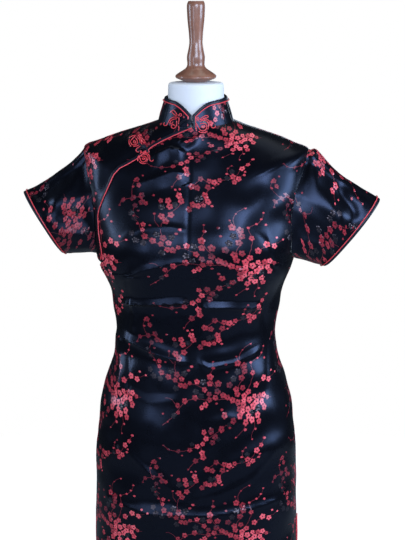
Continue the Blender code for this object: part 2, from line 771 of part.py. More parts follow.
def turned_drawing(drawing, degrees, mirrored):
    across, up = np.array(drawing).T
    across = -across if mirrored else across
    cosine, sine = math.cos(math.radians(degrees)), math.sin(math.radians(degrees))
    return np.column_stack((across * cosine - up * sine, across * sine + up * cosine))


def build_frogs(tree, collection, flower_finish, knot_finish):
    for frog in FROGS:
        plane = drawing_plane(tree, frog.x, frog.z)
        for name, drawing in (("flower", flower_drawing()), ("leaf", LEAF)):
            flat = turned_drawing(drawing, frog.turned_deg, frog.mirrored)
            points = laid_on_cloth(tree, plane, flat, FROG_CORD_RADIUS)
            cord(f"{frog.name}_{name}", points, FROG_CORD_RADIUS, collection, flower_finish)
    for knot in KNOTS:
        plane = drawing_plane(tree, knot.x, knot.z)
        (middle,) = laid_on_cloth(tree, plane, [(0.0, 0.0)], KNOT_RADIUS)
        mesh = bmesh.new()
        bmesh.ops.create_uvsphere(mesh, u_segments=10, v_segments=6, radius=KNOT_RADIUS)
        bmesh.ops.translate(mesh, vec=Vector(middle), verts=mesh.verts)
        finished_mesh(f"knot_{knot.name}", mesh, collection, knot_finish)


# The dress form and its stand


def form_clearance(level, turn):
    """How far inside the cloth's outer surface the form lies. It carries the dress along the shoulders."""
    near_seam = min(1.0, (math.sin(turn) / 0.3) ** 2)
    on_shoulder = 1.0 if level >= LEVEL["outer_shoulder"] else 0.0
    spare = FORM_CLEARANCE - SHOULDER_CLEARANCE
    return FORM_CLEARANCE - spare * (1 - near_seam) * on_shoulder


def form_point(level, turn):
    """A point of the dress form, which fills the bust but not the drag folds."""
    point = bare_body(level, turn)
    rise = swell_rise(point[0], point[2]) if math.sin(turn) > 0 else 0.0
    return point + body_normal(level, turn) * (rise - form_clearance(level, turn))


def build_form(collection, finish):
    columns = 24
    turns = np.arange(columns) * 2 * math.pi / columns
    levels = range(int(FORM_FOOT_LEVEL) + 1, TOP_LEVEL)
    rings = [[bare_body(FORM_FOOT_LEVEL, turn) * (0.94, 0.94, 1.0) for turn in turns]]
    rings += [[form_point(level, turn) for turn in turns] for level in levels]
    neckline = [
        bare_body(TOP_LEVEL, turn) - np.array((math.cos(turn), -math.sin(turn), 0)) * 0.008 for turn in turns
    ]
    rings.append(neckline)
    neck_rows = ((1.436, 0.0012), (NECK_TOP - 0.007, 0.0), (NECK_TOP - 0.002, -0.0022), (NECK_TOP, -0.0075))
    for height, wider in neck_rows:
        radius = NECK_RADIUS + wider
        rings.append([np.array((radius * math.cos(turn), -radius * math.sin(turn), height)) for turn in turns])
    return loft("torso_form", rings, collection, finish)


def build_stand(collection, finish):
    foot = ring_sizes(FORM_FOOT_LEVEL)[0]
    turned("base", BASE, 0.0, 28, collection, finish)
    low, high = BASE_HEIGHT + SEAM_GAP, foot - SEAM_GAP
    length = high - low
    profile = (
        Turning(length, 0.0),
        Turning(length, 0.034),
        Turning(length - 0.010, 0.034),
        Turning(length - 0.016, POLE_RADIUS + 0.004),
        Turning(length - 0.040, POLE_RADIUS),
        Turning(0.060, POLE_RADIUS),
        Turning(0.040, POLE_RADIUS + 0.006),
        Turning(0.020, POLE_RADIUS + 0.004),
        Turning(0.012, POLE_RADIUS + 0.011),
        Turning(0.0, POLE_RADIUS + 0.011),
        Turning(0.0, 0.0),
    )
    turned("pole", profile, low, 16, collection, finish)
    turned("finial", FINIAL, NECK_TOP + SEAM_GAP, 18, collection, finish)


def main():
    clear_scene()
    parts = new_collection("Cheongsam on dress form")
    satin = material("plum_brocade", (0.010, 0.012, 0.024), 0.38)
    binding = material("black_satin", (0.008, 0.009, 0.016), 0.42)
    piping = material("red_piping", (0.62, 0.02, 0.035), 0.45)
    jersey = material("white_jersey", (0.82, 0.83, 0.86), 0.85)
    wood = material("turned_wood", (0.19, 0.075, 0.035), 0.32)

    above_slit = LEVEL["slit_top"] + SLIT_STEP
    front_levels = panel_levels(0, TOP_LEVEL, LEVEL["belly"], TOP_LEVEL)
    across_folds = np.arange(LEVEL["slit_top"] + 0.25, LEVEL["hip"], 0.25)
    front_levels = sorted({*front_levels, *across_folds, above_slit, TOP_LEVEL - 0.2})
    front = panel("front_panel", front_levels, front_limits, 18, parts, satin)
    back_levels = panel_levels(0, TOP_LEVEL, LEVEL["underarm"], LEVEL["shoulder_tip"]) + [above_slit]
    back_levels.sort()
    panel("back_panel", back_levels, back_limits, 16, parts, satin)
    shoulder_levels = [LEVEL["under_bust"] + share for share in (0.2, 0.5)]
    shoulder_levels += [level for level in front_levels if level >= LEVEL["underarm"]]
    underlap = panel("underlap_panel", shoulder_levels, underlap_limits, 6, parts, satin, underlap_sink)

    placket_levels = [level for level in front_levels if level >= LEVEL["underarm"]]
    edge_trim("placket", placket_levels, front_limits, 1, parts, binding, piping)
    slit_levels = [0.0, 1.0, 2.0, LEVEL["slit_top"] - SLIT_STEP]
    for name, limits, which in (
        ("slit_front_left", front_limits, 0),
        ("slit_front_right", front_limits, 1),
        ("slit_back_right", back_limits, 0),
        ("slit_back_left", back_limits, 1),
    ):
        edge_trim(name, slit_levels, limits, which, parts, binding, piping)

    for name, cuff in CUFFS.items():
        build_sleeve(name, cuff, parts, satin, piping, binding)
    build_collar(parts, satin, piping, binding)
    bpy.context.view_layer.update()
    trimmed = ("collar", "collar_binding", "collar_piping", "placket_binding", "placket_piping")
    under_frogs = [front, underlap] + [bpy.data.objects[name] for name in trimmed]
    build_frogs(surface_tree(under_frogs), parts, piping, binding)
    build_form(parts, jersey)
    build_stand(parts, wood)


if __name__ == "__main__":
    main()
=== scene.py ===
import math
from collections import namedtuple

import bmesh
import bpy
import numpy as np
from bpy.props import FloatProperty, FloatVectorProperty, IntProperty, PointerProperty
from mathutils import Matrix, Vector
from mathutils.bvhtree import BVHTree


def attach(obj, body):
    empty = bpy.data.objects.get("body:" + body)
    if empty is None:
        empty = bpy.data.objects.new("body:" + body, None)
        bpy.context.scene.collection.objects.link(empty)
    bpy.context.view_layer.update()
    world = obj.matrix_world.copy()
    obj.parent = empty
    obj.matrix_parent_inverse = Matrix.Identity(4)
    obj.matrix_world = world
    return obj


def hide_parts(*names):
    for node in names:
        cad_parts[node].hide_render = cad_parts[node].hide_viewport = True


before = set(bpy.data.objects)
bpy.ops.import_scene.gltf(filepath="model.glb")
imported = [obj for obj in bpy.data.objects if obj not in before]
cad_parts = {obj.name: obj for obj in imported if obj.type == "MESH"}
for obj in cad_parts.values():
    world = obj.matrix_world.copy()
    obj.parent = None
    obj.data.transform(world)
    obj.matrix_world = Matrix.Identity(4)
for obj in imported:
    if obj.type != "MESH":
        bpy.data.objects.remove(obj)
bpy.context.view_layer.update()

bl_info = {
    "name": "Cheongsam on a dress form",
    "version": (1, 0, 0),
    "blender": (4, 5, 0),
    "location": "3D View > Sidebar > Cheongsam",
    "description": "Makes a plum-blossom brocade cheongsam on a limbless dress form with a turned wooden stand",
    "category": "Add Mesh",
}

# Metres, +Z up. The dress faces -Y, so the wearer's left is +X. The sizes are the frame's own.
WALL = 0.0012
COLLAR_WALL = 0.0015
SEAM_GAP = 0.0003
NECK_SEAM_GAP = 0.0006
SLEEVE_SEAM_GAP = 0.0008
BINDING_WIDTH = 0.006
PIPING_RADIUS = 0.001
LIFT = 0.0004
UNDERLAP = 0.016
UNDERLAP_DEPTH = WALL + 0.0007
UNDERARM_DEPTH = 0.0028
SLIT_OPENING = 0.005
SLIT_STEP = 0.03
FORM_CLEARANCE = 0.0062
SHOULDER_CLEARANCE = WALL + 0.0008
FORM_FOOT_LEVEL = 3.5
NECK_RADIUS = 0.0487
NECK_TOP = 1.479
BASE_HEIGHT = 0.040
POLE_RADIUS = 0.015

# How finely the meshes are made, and their small sizes
SHARP_DEGREES = 42
ROW_SPACING = 0.0042
SLIT_SPACING = 0.006
ARMHOLE_SPACING = 0.0034
PANEL_COLUMNS = {"front_panel": 124, "underlap_panel": 44, "back_panel": 96}
UNDERARM_SHARES = (0.0, 0.12, 0.25, 0.4, 0.55, 0.7, 0.85)
SLEEVE_ROWS = 41
COLLAR_ROWS = 19
FORM_COLUMNS = 96
CORD_STEP = 0.0007
STROKE_STEP = 0.0011
KNOT_CORD_RADIUS = 0.0011
KNOT_CORE_RADIUS = 0.0032
KNOT_LOOP_RADIUS = 0.0018
NECK_CORNER = 0.0055
NECK_STEP = 0.0085
PETALS = 5
PETAL_TOP = 0.88
TWIG_TOP = 0.999
PAD_ROOT = 0.00008

# The cloth's outer surface, one row for each ring from the hem up. Above the underarm a ring leans: its sides are
# at side_z, its front at front_z and its back at back_z. Squareness 2 is an ellipse, and more is boxier.
Ring = namedtuple("Ring", "name side_z front_z back_z half_width front back squareness")
RINGS = (
    Ring("hem", 0.455, 0.455, 0.455, 0.179, 0.102, 0.119, 2.5),
    Ring("knee", 0.540, 0.540, 0.540, 0.183, 0.106, 0.124, 2.5),
    Ring("low_thigh", 0.620, 0.620, 0.620, 0.186, 0.110, 0.130, 2.5),
    Ring("slit_top", 0.690, 0.690, 0.690, 0.186, 0.113, 0.135, 2.4),
    Ring("thigh", 0.765, 0.765, 0.765, 0.184, 0.115, 0.139, 2.4),
    Ring("hip", 0.835, 0.835, 0.835, 0.182, 0.115, 0.139, 2.4),
    Ring("high_hip", 0.871, 0.871, 0.871, 0.178, 0.114, 0.136, 2.3),
    Ring("belly", 0.907, 0.907, 0.907, 0.173, 0.112, 0.129, 2.3),
    Ring("low_waist", 0.943, 0.943, 0.943, 0.163, 0.109, 0.118, 2.3),
    Ring("under_waist", 0.979, 0.979, 0.979, 0.153, 0.106, 0.106, 2.3),
    Ring("near_waist", 1.006, 1.006, 1.006, 0.147, 0.103, 0.097, 2.2),
    Ring("waist", 1.040, 1.040, 1.040, 0.143, 0.101, 0.091, 2.2),
    Ring("over_waist", 1.083, 1.083, 1.083, 0.149, 0.104, 0.092, 2.2),
    Ring("ribs", 1.117, 1.117, 1.117, 0.156, 0.112, 0.097, 2.3),
    Ring("under_bust", 1.152, 1.152, 1.152, 0.169, 0.121, 0.103, 2.4),
    Ring("underarm", 1.173, 1.173, 1.173, 0.175, 0.125, 0.106, 2.4),
    Ring("bust", 1.205, 1.197, 1.205, 0.181, 0.126, 0.109, 2.4),
    Ring("chest", 1.240, 1.223, 1.240, 0.186, 0.122, 0.110, 2.4),
    Ring("high_chest", 1.275, 1.248, 1.270, 0.190, 0.115, 0.109, 2.4),
    Ring("armhole", 1.310, 1.273, 1.300, 0.194, 0.107, 0.105, 2.4),
    Ring("under_shoulder", 1.341, 1.295, 1.325, 0.197, 0.099, 0.099, 2.3),
    Ring("shoulder_tip", 1.365, 1.314, 1.345, 0.199, 0.092, 0.093, 2.2),
    Ring("outer_shoulder", 1.376, 1.332, 1.360, 0.174, 0.085, 0.086, 2.2),
    Ring("mid_shoulder", 1.386, 1.349, 1.375, 0.148, 0.078, 0.079, 2.2),
    Ring("inner_shoulder", 1.395, 1.367, 1.391, 0.121, 0.071, 0.073, 2.1),
    Ring("neck_root", 1.403, 1.386, 1.408, 0.094, 0.065, 0.067, 2.1),
    Ring("neckline", 1.412, 1.405, 1.424, 0.067, 0.060, 0.060, 2.0),
)
LEVEL = {ring.name: index for index, ring in enumerate(RINGS)}
TOP_LEVEL = LEVEL["neckline"]
SIZES = np.array([ring[1:] for ring in RINGS])

# Rounded swellings of the cloth, as places in the front view, with their half lengths and how far they stand out.
Swell = namedtuple("Swell", "name x z half_wide half_high rise")
FRONT_SWELLS = (
    Swell("left_bust", 0.083, 1.195, 0.058, 0.052, 0.010),
    Swell("right_bust", -0.083, 1.195, 0.058, 0.052, 0.010),
)

# The largest drag folds, as ridges between two places in the front view. Sag bows the line downwards.
Fold = namedtuple("Fold", "name x_1 z_1 x_2 z_2 sag half_width rise")
FRONT_FOLDS = (
    Fold("waist_right", -0.130, 1.034, -0.004, 0.998, 0.003, 0.014, 0.0030),
    Fold("waist_left", 0.016, 1.006, 0.124, 1.029, 0.003, 0.014, 0.0028),
    Fold("under_bust_right", -0.124, 1.139, 0.002, 1.184, -0.006, 0.013, 0.0022),
    Fold("thigh_right", -0.116, 0.835, -0.008, 0.752, 0.005, 0.015, 0.0032),
    Fold("thigh_left", 0.158, 0.846, 0.002, 0.743, 0.020, 0.015, 0.0030),
    Fold("lap", -0.162, 0.737, 0.165, 0.744, 0.022, 0.014, 0.0034),
    Fold("belly_right", -0.130, 0.880, 0.010, 0.885, 0.004, 0.034, 0.0050),
    Fold("belly_left", 0.050, 0.900, 0.160, 0.905, 0.004, 0.030, 0.0030),
    Fold("waist_low_right", -0.120, 1.060, 0.000, 1.066, 0.000, 0.020, 0.0026),
    Fold("waist_low_left", 0.020, 1.072, 0.125, 1.070, 0.000, 0.020, 0.0034),
)

# Creases and seams of the front, each a line in the front view. Lit above is a fold whose upper side faces up, lit
# below has that side under the line, a ridge has its wide side under the line or on the wearer's right of it, and a
# groove is pressed in evenly. Those that run down are read by height.
Crease = namedtuple("Crease", "kind runs depth width points")
FRONT_CREASES = (
    Crease("lit_above", "across", 0.0062, 0.013, ((-0.128, 1.093), (-0.115, 1.097), (-0.050, 1.105), (0.006, 1.110))),
    Crease("lit_below", "across", 0.0066, 0.0125, ((0.016, 1.112), (0.072, 1.1135), (0.116, 1.109), (0.130, 1.106))),
    Crease("lit_above", "across", 0.0024, 0.010, ((-0.122, 1.139), (-0.078, 1.165), (-0.026, 1.179), (0.004, 1.183))),
    Crease("lit_above", "across", 0.0022, 0.012, ((0.014, 1.184), (0.053, 1.180), (0.1225, 1.157), (0.135, 1.150))),
    Crease("lit_above", "across", 0.0036, 0.013, ((-0.127, 1.034), (-0.060, 1.012), (-0.005, 0.999), (0.004, 1.000))),
    Crease("lit_below", "across", 0.0032, 0.009, ((0.012, 1.013), (0.035, 1.000), (0.080, 1.008), (0.125, 1.0285))),
    Crease("lit_above", "across", 0.0018, 0.010, ((-0.110, 0.829), (-0.078, 0.803), (-0.040, 0.771), (-0.004, 0.750))),
    Crease("lit_above", "across", 0.0018, 0.010, ((0.000, 0.744), (0.062, 0.7615), (0.114, 0.789), (0.158, 0.842))),
    Crease("lit_above", "across", 0.0020, 0.010, ((-0.160, 0.735), (-0.075, 0.718), (0.046, 0.720), (0.163, 0.743))),
    Crease("lit_above", "across", 0.0015, 0.008, ((-0.092, 0.6785), (-0.060, 0.690), (-0.030, 0.7025))),
    Crease("lit_below", "across", 0.0014, 0.012, ((0.030, 0.905), (0.070, 0.915), (0.120, 0.900))),
    Crease("lit_below", "across", 0.0014, 0.012, ((-0.120, 0.955), (-0.070, 0.938), (-0.010, 0.946))),
    Crease("lit_above", "across", 0.0014, 0.010, ((-0.120, 1.215), (-0.080, 1.236), (-0.030, 1.240), (0.000, 1.236))),
    Crease("ridge", "across", 0.0034, 0.013, ((-0.036, 1.388), (-0.020, 1.382), (-0.007, 1.378), (0.020, 1.396))),
    Crease("ridge", "across", 0.0052, 0.022, ((-0.074, 1.350), (-0.060, 1.360), (-0.036, 1.371), (-0.004, 1.364))),
    Crease("ridge", "across", 0.0036, 0.024, ((-0.105, 1.308), (-0.070, 1.318), (-0.030, 1.332), (-0.002, 1.330))),
    Crease("groove", "down", 0.0010, 0.0030, ((1.180, 0.001), (1.270, 0.000), (1.368, -0.001))),
    Crease("groove", "down", 0.0010, 0.0030, ((1.045, 0.0145), (1.110, 0.016), (1.180, 0.018))),
    Crease("groove", "down", 0.0008, 0.0035, ((0.930, -0.110), (1.028, -0.112), (1.104, -0.109), (1.185, -0.104))),
    Crease("groove", "down", 0.0008, 0.0035, ((0.930, 0.134), (1.012, 0.1325), (1.108, 0.125), (1.160, 0.121))),
    Crease("groove", "down", 0.0010, 0.0035, ((1.150, 0.151), (1.219, 0.131), (1.238, 0.110))),
    Crease("ridge", "down", 0.0020, 0.010, ((1.040, -0.101), (1.080, -0.098), (1.120, -0.106))),
    Crease(
        "lit_below", "down", 0.0046, 0.017, ((0.925, -0.112), (0.968, -0.1095), (0.990, -0.1112), (1.040, -0.1113))
    ),
    Crease("ridge", "down", 0.0016, 0.012, ((1.160, 0.150), (1.200, 0.140), (1.240, 0.133))),
)
BACK_CREASES = (
    Crease("groove", "down", 0.0010, 0.0030, ((0.460, 0.000), (0.900, 0.000), (1.415, 0.000))),
    Crease("groove", "down", 0.0008, 0.0035, ((0.905, 0.078), (1.040, 0.072), (1.190, 0.084))),
    Crease("groove", "down", 0.0008, 0.0035, ((0.905, -0.078), (1.040, -0.072), (1.190, -0.084))),
    Crease("lit_above", "across", 0.0020, 0.012, ((-0.120, 1.030), (-0.060, 1.018), (-0.006, 1.022))),
    Crease("lit_above", "across", 0.0020, 0.012, ((0.006, 1.016), (0.060, 1.012), (0.118, 1.026))),
    Crease("lit_above", "across", 0.0018, 0.014, ((-0.130, 0.988), (-0.040, 0.972), (0.060, 0.978), (0.126, 0.994))),
    Crease("lit_above", "across", 0.0016, 0.016, ((-0.140, 0.742), (-0.040, 0.722), (0.060, 0.724), (0.142, 0.746))),
    Crease("lit_below", "across", 0.0014, 0.014, ((-0.120, 1.300), (-0.050, 1.322), (0.050, 1.322), (0.120, 1.300))),
)

# Soft unevenness of the pressed satin: wave length in metres and height.
Ripple = namedtuple("Ripple", "length height")
RIPPLES = (Ripple(0.110, 0.0011), Ripple(0.062, 0.0005), Ripple(0.034, 0.00018))

# Edges drawn on the front view as x at each height. The front panel ends at the placket line on the wearer's right.
EdgePoint = namedtuple("EdgePoint", "z x")


def edge_line(*rows):
    return tuple(EdgePoint(*row) for row in rows)


PLACKET = edge_line(
    (1.152, -0.170), (1.165, -0.160), (1.186, -0.155), (1.222, -0.161), (1.250, -0.162), (1.264, -0.159),
    (1.287, -0.150), (1.306, -0.142), (1.324, -0.134), (1.335, -0.124), (1.342, -0.111), (1.351, -0.095),
    (1.362, -0.081), (1.371, -0.069), (1.382, -0.049), (1.395, -0.022), (1.405, 0.0),
)
FRONT_ARMHOLE = edge_line(
    (1.173, 0.1750), (1.190, 0.1705), (1.219, 0.1715), (1.244, 0.1730), (1.266, 0.1745), (1.292, 0.1785),
    (1.318, 0.1880), (1.340, 0.1940), (1.365, 0.1990),
)
BACK_ARMHOLE = edge_line(
    (1.173, 0.1750), (1.203, 0.1740), (1.237, 0.1780), (1.270, 0.1830), (1.300, 0.1880), (1.335, 0.1930),
    (1.365, 0.1990),
)

# Finished sleeve edges, each an oval through a top and a bottom place in the front view. Front out is how much
# further along the sleeve the oval's front lies than its middle. The sleeve's top line hangs by the top sag below a
# straight one, and stands above it by the head rise next to the armhole.
Cuff = namedtuple("Cuff", "side top_x top_z bottom_x bottom_z centre_y half_depth front_out top_sag head_rise")
CUFFS = {
    "right": Cuff(-1, 0.312, 1.280, 0.243, 1.169, 0.000, 0.045, -0.007, 0.0110, 0.0),
    "left": Cuff(1, 0.324, 1.279, 0.229, 1.158, -0.002, 0.036, 0.005, 0.0030, 0.0110),
}
SleeveFold = namedtuple("SleeveFold", "side start angle_1 stop angle_2 half_width rise")
# The sleeves' folds: where each starts and stops along the sleeve, and how far round it from its bottom, in degrees.
SLEEVE_FOLDS = (
    SleeveFold("right", 0.10, 55, 0.95, 70, 9, 0.0030),
    SleeveFold("right", 0.05, 80, 0.80, 94, 8, -0.0022),
    SleeveFold("right", 0.02, 146, 0.80, 108, 13, 0.0038),
    SleeveFold("right", 0.35, 152, 0.98, 134, 10, -0.0022),
    SleeveFold("left", 0.10, 52, 0.90, 64, 9, 0.0026),
    SleeveFold("left", 0.02, 142, 0.88, 99, 14, 0.0050),
    SleeveFold("left", 0.38, 150, 0.98, 113, 9, -0.0042),
    SleeveFold("left", 0.50, 158, 1.00, 138, 12, 0.0034),
)

COLLAR_HEIGHT = 0.0415
COLLAR_TOP_HALF_WIDTH = 0.0545
COLLAR_TOP_FRONT = 0.0535
COLLAR_TOP_BACK = 0.054
COLLAR_CORNER_LENGTH = 0.043
COLLAR_CORNER_HEIGHT = 0.021
COLLAR_PARTING = 0.0006

# Turned profiles, from the top down, as height over the piece's foot and radius.
Turning = namedtuple("Turning", "height radius")
FINIAL = (
    Turning(0.1390, 0.0000),
    Turning(0.1390, 0.0130),
    Turning(0.1367, 0.0155),
    Turning(0.1300, 0.0161),
    Turning(0.1080, 0.0150),
    Turning(0.0845, 0.0125),
    Turning(0.0674, 0.0113),
    Turning(0.0560, 0.0133),
    Turning(0.0433, 0.0162),
    Turning(0.0350, 0.0158),
    Turning(0.0295, 0.0135),
    Turning(0.0245, 0.0162),
    Turning(0.0165, 0.0290),
    Turning(0.0115, 0.0366),
    Turning(0.0087, 0.0375),
    Turning(0.0062, 0.0355),
    Turning(0.0030, 0.0240),
    Turning(0.0000, 0.0190),
    Turning(0.0000, 0.0000),
)
BASE = (
    Turning(BASE_HEIGHT, 0.0000),
    Turning(BASE_HEIGHT, 0.0300),
    Turning(0.0340, 0.0400),
    Turning(0.0300, 0.0900),
    Turning(0.0240, 0.1500),
    Turning(0.0200, 0.1800),
    Turning(0.0150, 0.1880),
    Turning(0.0060, 0.1880),
    Turning(0.0000, 0.1840),
    Turning(0.0000, 0.0000),
)

# The plum branches, charted over one repeat of the weave in millimetres from the tip of its thick spray.
REPEAT_WIDTH = 0.250
REPEAT_HEIGHT = 0.247
# A tone from 0 to 4 is partly the silk's own shade and partly painted light. 0 is a blossom woven in navy. Among the
# red ones, coral and pink are painted highlight and the darkest red is painted shade.
Flower = namedtuple("Flower", "right up radius tone", defaults=(0,))


def charted(*rows):
    return tuple(Flower(*row) for row in rows)


FLOWERS = charted(
    (-9, 1, 4.0, 3), (-17, 6, 5.4, 4), (-26, 5, 5.8, 3), (-22, -4, 5.0, 4), (-33, -3, 5.6, 4),
    (-17, -12, 5.2, 3), (-40, -9, 5.6, 4), (-47, 1, 5.8, 4), (-57, 8, 5.8, 3), (-49, 15, 5.4, 3),
    (-50, -13, 5.2, 4), (-60, -15, 4.8, 4), (-49, -22, 5.0, 4), (-37, 6, 4.6, 4), (-58, 0, 4.6, 4),
    (-60, 23, 5.4, 2), (-72, 21, 5.8, 2), (-84, 29, 6.0, 1), (-70, 12, 5.6, 2), (-59, -6, 5.6, 3),
    (-69, -2, 5.4, 2), (-79, 2, 5.6, 2), (-66, -12, 5.2, 2), (-96, 11, 5.6, 2), (-106, 18, 5.8, 1),
    (-88, 7, 5.4, 2), (-104, 32, 6.2, 2), (-118, 44, 6.2, 2), (-119, 32, 5.6, 2), (-129, 21, 5.2, 2),
    (-121, 13, 5.0, 1), (-110, 7, 5.4, 2), (-121, 3, 5.0, 2), (-128, -5, 5.0, 3), (-135, -9, 4.0, 3),
    (-31, -22, 5.4, 4), (-28, -31, 5.0, 3), (-42, -28, 5.4, 4), (-54, -31, 5.4, 3), (-65, -21, 5.6, 3),
    (-77, -28, 5.4, 2), (-93, -20, 5.4, 2), (-69, 67, 6.0, 2), (-57, 62, 6.0, 2), (-56, 52, 5.6, 2),
    (-62, 41, 6.0, 2), (-41, 48, 4.8, 3), (-18, 36, 6.0, 4), (-5, 32, 5.4, 4), (-34, 26, 5.8, 3),
    (-147, 6, 5.6, 2), (-166, 0, 5.2, 2), (-179, -7, 4.2, 2), (-178, -17, 3.4, 2), (-142, 35, 5.2, 3),
    (-155, 32, 4.0, 2), (-164, 27, 5.6, 2), (-172, 28, 5.0, 2), (-169, 39, 5.0, 2), (-177, 47, 5.8, 2),
    (-181, 37, 4.8, 2), (-193, 42, 5.6, 2), (-205, 49, 5.4, 2), (-208, 60, 3.8, 2), (-207, 69, 4.4, 2),
    (-177, 84, 5.6, 2), (-171, 76, 5.6, 2), (-162, 87, 5.4, 2), (-165, 110, 5.2, 2), (-163, 101, 5.6, 2),
    (-177, 110, 4.0, 2), (-147, 118, 5.6, 3), (-144, 110, 5.2, 3), (-241, 109, 4.2, 1), (-225, 113, 5.0, 1),
    (-211, 117, 5.4, 1), (-208, 107, 5.4, 1), (-201, 105, 3.8, 1), (-219, 101, 4.4, 1), (-126, 105, 5.2, 2),
    (-118, 103, 5.0, 3), (-133, 97, 5.2, 2), (-103, 119, 5.6, 3), (-101, 110, 5.2, 3), (-109, 104, 4.0, 2),
    (-130, -45, 4.6, 3), (-126, -55, 5.2, 3), (-117, -43, 5.6, 1), (-109, -52, 5.4, 1), (-114, -62, 5.4, 1),
    (-98, -40, 5.6, 2), (-142, -70, 5.0, 3), (-132, -65, 4.6, 3), (-156, -77, 4.8, 2), (-177, -80, 4.2, 1),
    (-133, -82, 5.6, 3), (-131, -91, 5.6, 3), (-145, -98, 5.4, 1), (-83, -106, 5.8, 3), (-95, -115, 5.4, 2),
    (-92, -104, 5.2, 2), (-73, -102, 4.6, 2), (-107, -100, 5.2, 2), (-49, -95, 5.6, 3), (-47, -105, 5.0, 3),
    (-39, -99, 5.4, 3), (-32, -79, 5.6, 3), (-23, -70, 4.4, 3), (-124, -114, 5.8, 2), (-114, -116, 5.4, 2),
    (-223, -104, 5.2, 2), (-219, -114, 4.6, 2),
)
SHADOW_FLOWERS = charted(
    (-77, 40, 6.0), (-69, 52, 5.8), (-131, 34, 6.0), (-164, 49, 5.8), (-181, 22, 5.6),
    (-187, 53, 5.8), (-220, 42, 5.8), (-208, 38, 5.6), (-145, 17, 5.8), (-136, 9, 5.6),
    (-32, -13, 5.6), (-44, -19, 5.6), (-186, -22, 4.6), (-226, 88, 5.6), (-221, 79, 5.0),
    (-226, 53, 5.2), (-152, -66, 4.6), (-176, 100, 5.6), (-117, 114, 5.6), (-108, 117, 5.0),
    (-50, -86, 5.4), (-60, -98, 5.0), (-154, 104, 5.2), (-84, -34, 4.4), (-104, -56, 4.6),
)
BUDS = charted(
    (-71, 79, 2.0, 2), (-60, 90, 1.8, 2), (-44, 99, 2.0, 3), (-21, 80, 2.4, 3), (-16, 91, 2.2, 3),
    (-30, 72, 2.6, 3), (-44, 66, 2.8, 3), (-14, 70, 2.8, 3), (14, 41, 2.4, 4), (2, 46, 2.6, 4),
    (-112, 60, 3.6, 2), (-112, 71, 2.0, 2), (-222, 83, 2.0, 2), (-153, 127, 2.4, 3), (-145, 128, 2.2, 3),
    (-71, -53, 1.8, 3), (-54, -42, 3.0, 3), (-40, -58, 1.8, 3), (-34, -42, 2.4, 3), (-197, -31, 1.8, 2),
    (-159, -115, 1.6, 2), (-83, -38, 2.4, 2), (-205, -70, 2.0, 1), (-196, -77, 2.4, 1), (-16, -58, 3.4, 3),
    (-76, 138, 2.0, 3), (-86, 131, 2.2, 3), (-230, 130, 2.8, 2), (-228, 141, 2.2, 2), (-246, 100, 2.2, 1),
    (-90, 66, 3.0, 1), (-88, 52, 2.6, 2), (-150, 62, 3.2, 3), (-156, 55, 3.0, 2), (-188, 88, 2.4, 2),
    (-60, -90, 2.6, 3), (-28, -92, 3.0, 3), (-26, -86, 2.4, 3), (-58, -79, 2.4, 2), (-52, -73, 2.0, 2),
    (-216, 70, 2.6, 2), (-214, 92, 2.4, 1), (-206, -20, 2.2, 2), (-196, 68, 2.2, 2), (-98, -12, 2.8, 2),
    (-108, -3, 2.4, 2), (-96, 103, 2.6, 3), (-170, -88, 2.0, 2), (-212, -96, 2.2, 2), (-190, 118, 2.2, 2),
)
TWIGS = (
    ((-206, -36), (-186, -22), (-166, -2), (-146, 4), (-121, 2), (-92, 4), (-56, 0), (-22, 2), (0, 0)),
    ((-92, 8), (-108, 24), (-118, 44), (-113, 58), (-112, 70)),
    ((-72, 20), (-60, 42), (-64, 64), (-72, 78)),
    ((-64, 64), (-66, 80), (-60, 90), (-52, 96), (-42, 101)),
    ((-50, 18), (-40, 46), (-44, 64), (-30, 72), (-20, 80), (-15, 93)),
    ((-36, 24), (-16, 35), (0, 36), (16, 42)),
    ((-124, 20), (-150, 31), (-166, 28), (-186, 38), (-206, 52), (-214, 70), (-224, 84)),
    ((-176, 44), (-180, 62), (-173, 78), (-162, 90), (-148, 102), (-145, 116), (-152, 128)),
    ((-182, 66), (-188, 76), (-188, 88)),
    ((-54, -28), (-56, -40), (-64, -47), (-73, -55)),
    ((-38, -26), (-36, -40), (-42, -50), (-40, -60)),
    ((-160, -118), (-150, -104), (-136, -90), (-134, -74), (-138, -68), (-126, -56), (-112, -48), (-98, -40)),
    ((-98, -40), (-90, -34), (-80, -38)),
    ((-206, -69), (-194, -78), (-176, -80), (-158, -77), (-142, -70)),
    ((-124, -114), (-106, -102), (-92, -106), (-74, -103), (-50, -99), (-40, -90), (-31, -78), (-20, -64), (-15, -56)),
    ((-50, -99), (-58, -88), (-58, -79), (-52, -72)),
    ((-40, -98), (-30, -92), (-24, -84)),
    ((-134, 96), (-118, 104), (-104, 114), (-98, 125), (-86, 131), (-74, 139)),
    ((-248, 98), (-241, 109), (-225, 113), (-211, 115), (-202, 103)),
    ((-225, 113), (-232, 128), (-227, 142)),
    ((-220, 100), (-222, 88), (-214, 80)),
    ((-180, -10), (-190, 2), (-202, 4)),
)

